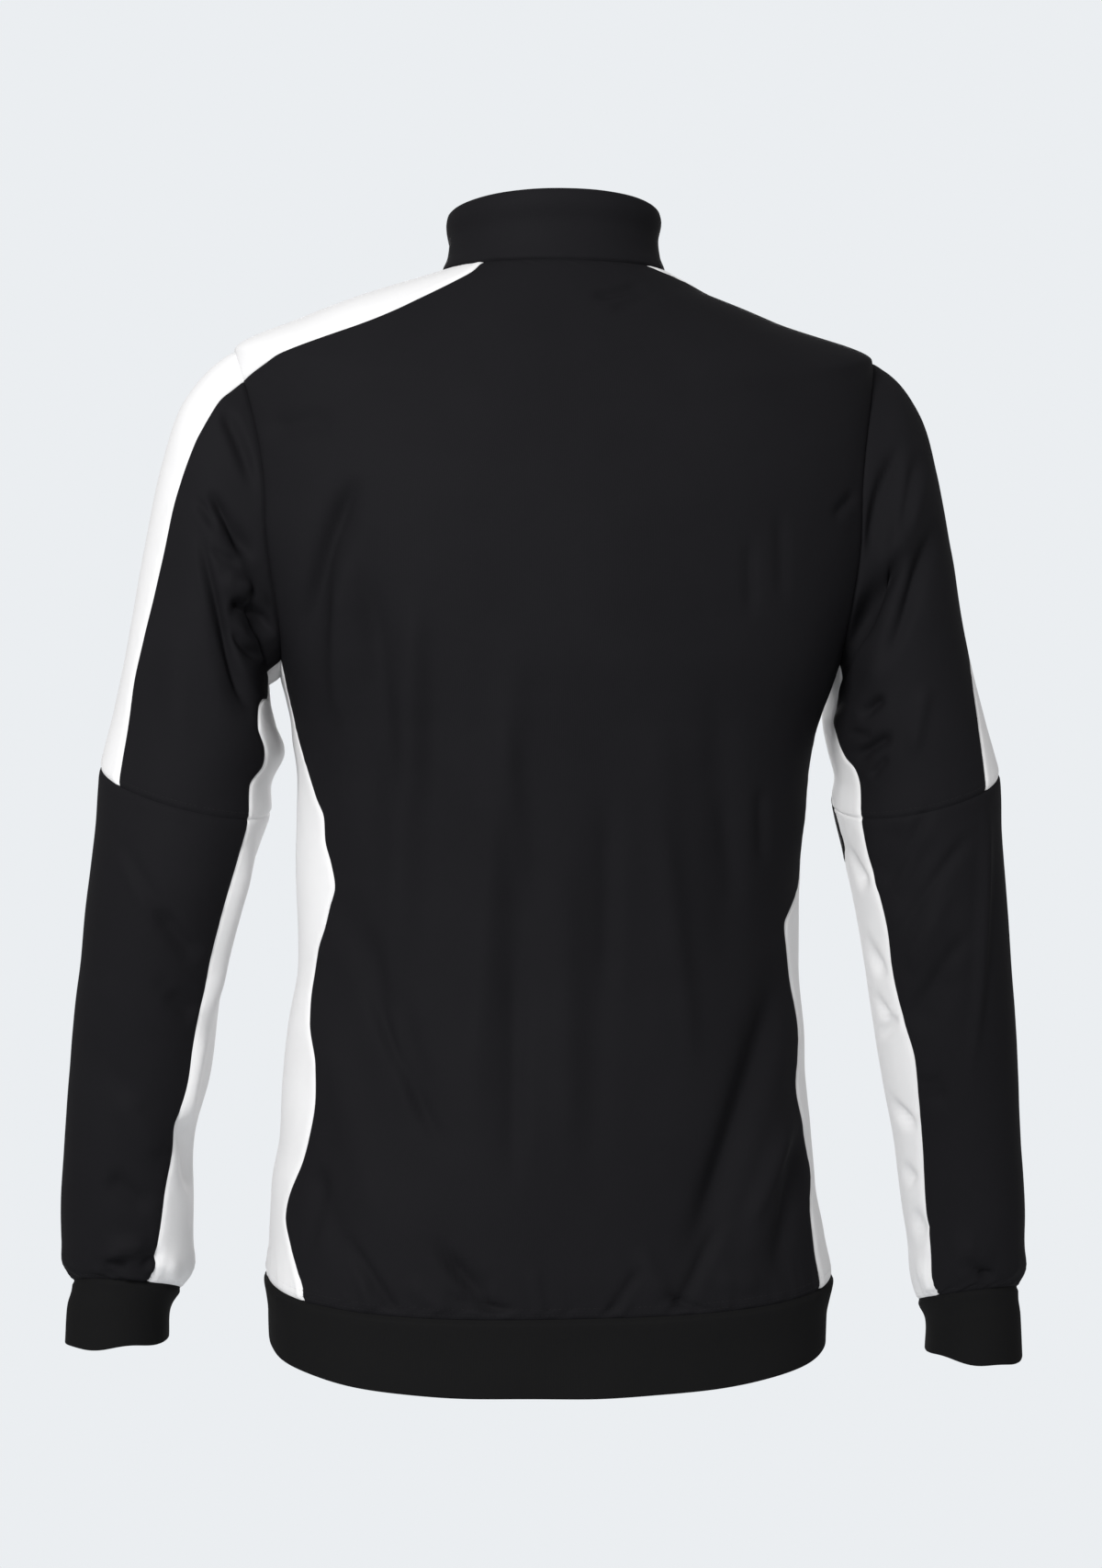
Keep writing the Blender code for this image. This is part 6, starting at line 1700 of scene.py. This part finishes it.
def add_pull_tab():
    """The pull tab with its eye and its raised pad, in its solid's place."""
    low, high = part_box("zip_pull_tab")
    middle = (low + high) / 2
    half = (high.x - low.x) / 2
    top, bottom = high.z - middle.z, low.z - middle.z
    outline = rounded_outline(both_sides([(-half * 0.82, top), (-half, bottom + 9 * MM),
                                          (-half * 0.78, bottom)]), 1.3 * MM)
    eye_top = top - TAB_BAR
    eye = rounded_outline([(-TAB_EYE_WIDTH / 2, eye_top), (TAB_EYE_WIDTH / 2, eye_top),
                           (TAB_EYE_WIDTH / 2, eye_top - TAB_EYE_LENGTH),
                           (-TAB_EYE_WIDTH / 2, eye_top - TAB_EYE_LENGTH)], 0.9 * MM)
    tab = plate("tab", outline, TAB_THICK, 0.35 * MM, eye)
    pad = rounded_outline(both_sides([(-half * 0.6, bottom + 12.5 * MM),
                                      (-half * 0.66, bottom + 8.5 * MM),
                                      (-half * 0.5, bottom + 1.6 * MM)]), 1.0 * MM)
    raised = plate("tab_pad", pad, TAB_THICK + 0.5 * MM, 0.22 * MM)
    data = joined_mesh("pull_tab_piece", [tab, raised])
    data.transform(Matrix.Translation(middle))
    return part_of("pull_tab_piece", data, metal, "dark_metal", "zip_pull_tab", body="pull_tab")


def add_zip_teeth():
    """Coil teeth up the middle of the closed zip."""
    points, outs = tape_line(1e-4, 1.0)
    points[:, 0] = 0.0
    tooth = zip_tooth("tooth")
    teeth = repeats("zip_teeth", [(points[2:], outs[2:])], tooth, TOOTH_PITCH, coil, "zip_tape",
                    swap=1.0)
    bpy.data.objects.remove(tooth)
    return teeth


# ---- Stage, light and camera ----

def add_stage():
    """The floor."""
    mesh = bmesh.new()
    bmesh.ops.create_circle(mesh, cap_ends=True, segments=96, radius=FLOOR_RADIUS)
    bmesh.ops.translate(mesh, verts=mesh.verts, vec=(0.0, 0.0, FLOOR_LEVEL))
    data = mesh_of(mesh, "floor")
    finish, nodes, _ = new_finish("floor_paint")
    shader = nodes["Principled BSDF"]
    shader.inputs["Roughness"].default_value = 0.9
    shader.inputs["Base Color"].default_value = BACKDROP
    data.materials.append(finish)
    floor = placed("floor", data)


def add_light(name, place, aim, size, power):
    """A soft light that faces its aim."""
    lamp = bpy.data.lights.new(name, "AREA")
    lamp.shape = "RECTANGLE"
    lamp.size, lamp.size_y = size
    lamp.energy = power
    light = placed(name, lamp)
    light.location = place
    light.rotation_euler = (Vector(aim) - Vector(place)).to_track_quat("-Z", "Y").to_euler()


def add_lights_and_camera():
    """The room's own light, the lights and the camera."""
    world = bpy.data.worlds.new("studio")
    world.use_nodes = True
    nodes, links = world.node_tree.nodes, world.node_tree.links
    looked_at = nodes.new("ShaderNodeLightPath").outputs["Is Camera Ray"]
    links.new(mix_node(nodes, links, looked_at, FILL, BACKDROP), nodes["Background"].inputs["Color"])
    bpy.context.scene.world = world
    for light in LIGHTS:
        add_light(*light)
    lens = bpy.data.cameras.new("camera")
    lens.sensor_fit = "VERTICAL"
    lens.sensor_height = CAMERA_SENSOR
    lens.sensor_width = CAMERA_SENSOR
    lens.lens = CAMERA_LENS
    camera = placed("camera", lens)
    turn = math.radians(CAMERA_AZIMUTH)
    camera.location = (CAMERA_DISTANCE * math.sin(turn), -CAMERA_DISTANCE * math.cos(turn),
                       CAMERA_HEIGHT)
    aim = Vector((0.0, 0.0, CAMERA_HEIGHT)) - camera.location
    camera.rotation_euler = aim.to_track_quat("-Z", "Y").to_euler()
    bpy.context.scene.camera = camera


# ---- Making ----

add_stage()
add_lights_and_camera()

black_knit = knit_finish("black_knit", BLACK_CLOTH, BLACK_CLOTH_TONE_AND_SHADE, 0.66, 0.02, 0.0)
band_knit = knit_finish("black_band_knit", BAND_CLOTH, BAND_CLOTH_TONE_AND_SHADE, 0.74, 0.02, 0.0)
white_knit = knit_finish("white_knit", WHITE_CLOTH, WHITE_CLOTH_TONE_AND_SHADE, 0.6, 0.2, 0.05)
tape_finish = tape_weave("zip_tape_weave")
metal = metal_finish("dark_metal_finish")
thread = thread_finish("black_thread", BLACK_THREAD)
white_thread = thread_finish("white_thread", WHITE_THREAD)
coil = thread_finish("zip_coil", ZIP_COIL)
BLACK = {"thick": CLOTH_THICK, "slack": 1.0, "finish": black_knit, "slot": "black_knit"}
WHITE = {"thick": CLOTH_THICK, "slack": 0.8, "finish": white_knit, "slot": "white_knit"}
BAND = {"thick": BAND_THICK, "slack": 0.8, "finish": band_knit, "slot": "black_rib"}
COLLAR = {"thick": COLLAR_THICK, "slack": 0.7, "finish": black_knit, "slot": "black_knit"}

repeat_tree = run_tree()
rows_of_thread = {"torso": [], "sleeves": [], "white": []}
torso_made = [add_back_panel(), add_hem_band(), add_collar()]
for side, word in ((1.0, "left"), (-1.0, "right")):
    torso_made.append(add_front_panel(side, word))
    rows_of_thread["white"] += add_side_panel(side, word)[1]
    add_shoulder_stripe(side, word)
    for piece, lines in add_sleeve(side, word):
        pale = piece.name.startswith(("underarm", "sleeve_stripe"))
        rows_of_thread["white" if pale else "sleeves"] += lines
    add_zip_tape(side, word)
for piece, lines in torso_made:
    rows_of_thread["torso"] += lines

stitch = capsule("stitch", STITCH_LENGTH, STITCH_WIDTH, STITCH_HEIGHT)
for place, lines in rows_of_thread.items():
    repeats("topstitching_" + place, lines, stitch, STITCH_PITCH,
            white_thread if place == "white" else thread,
            "white_knit" if place == "white" else "black_knit", size_spread=0.08, seed=7)
bpy.data.objects.remove(stitch)
add_zip_teeth()
add_slider()
add_pull_tab()
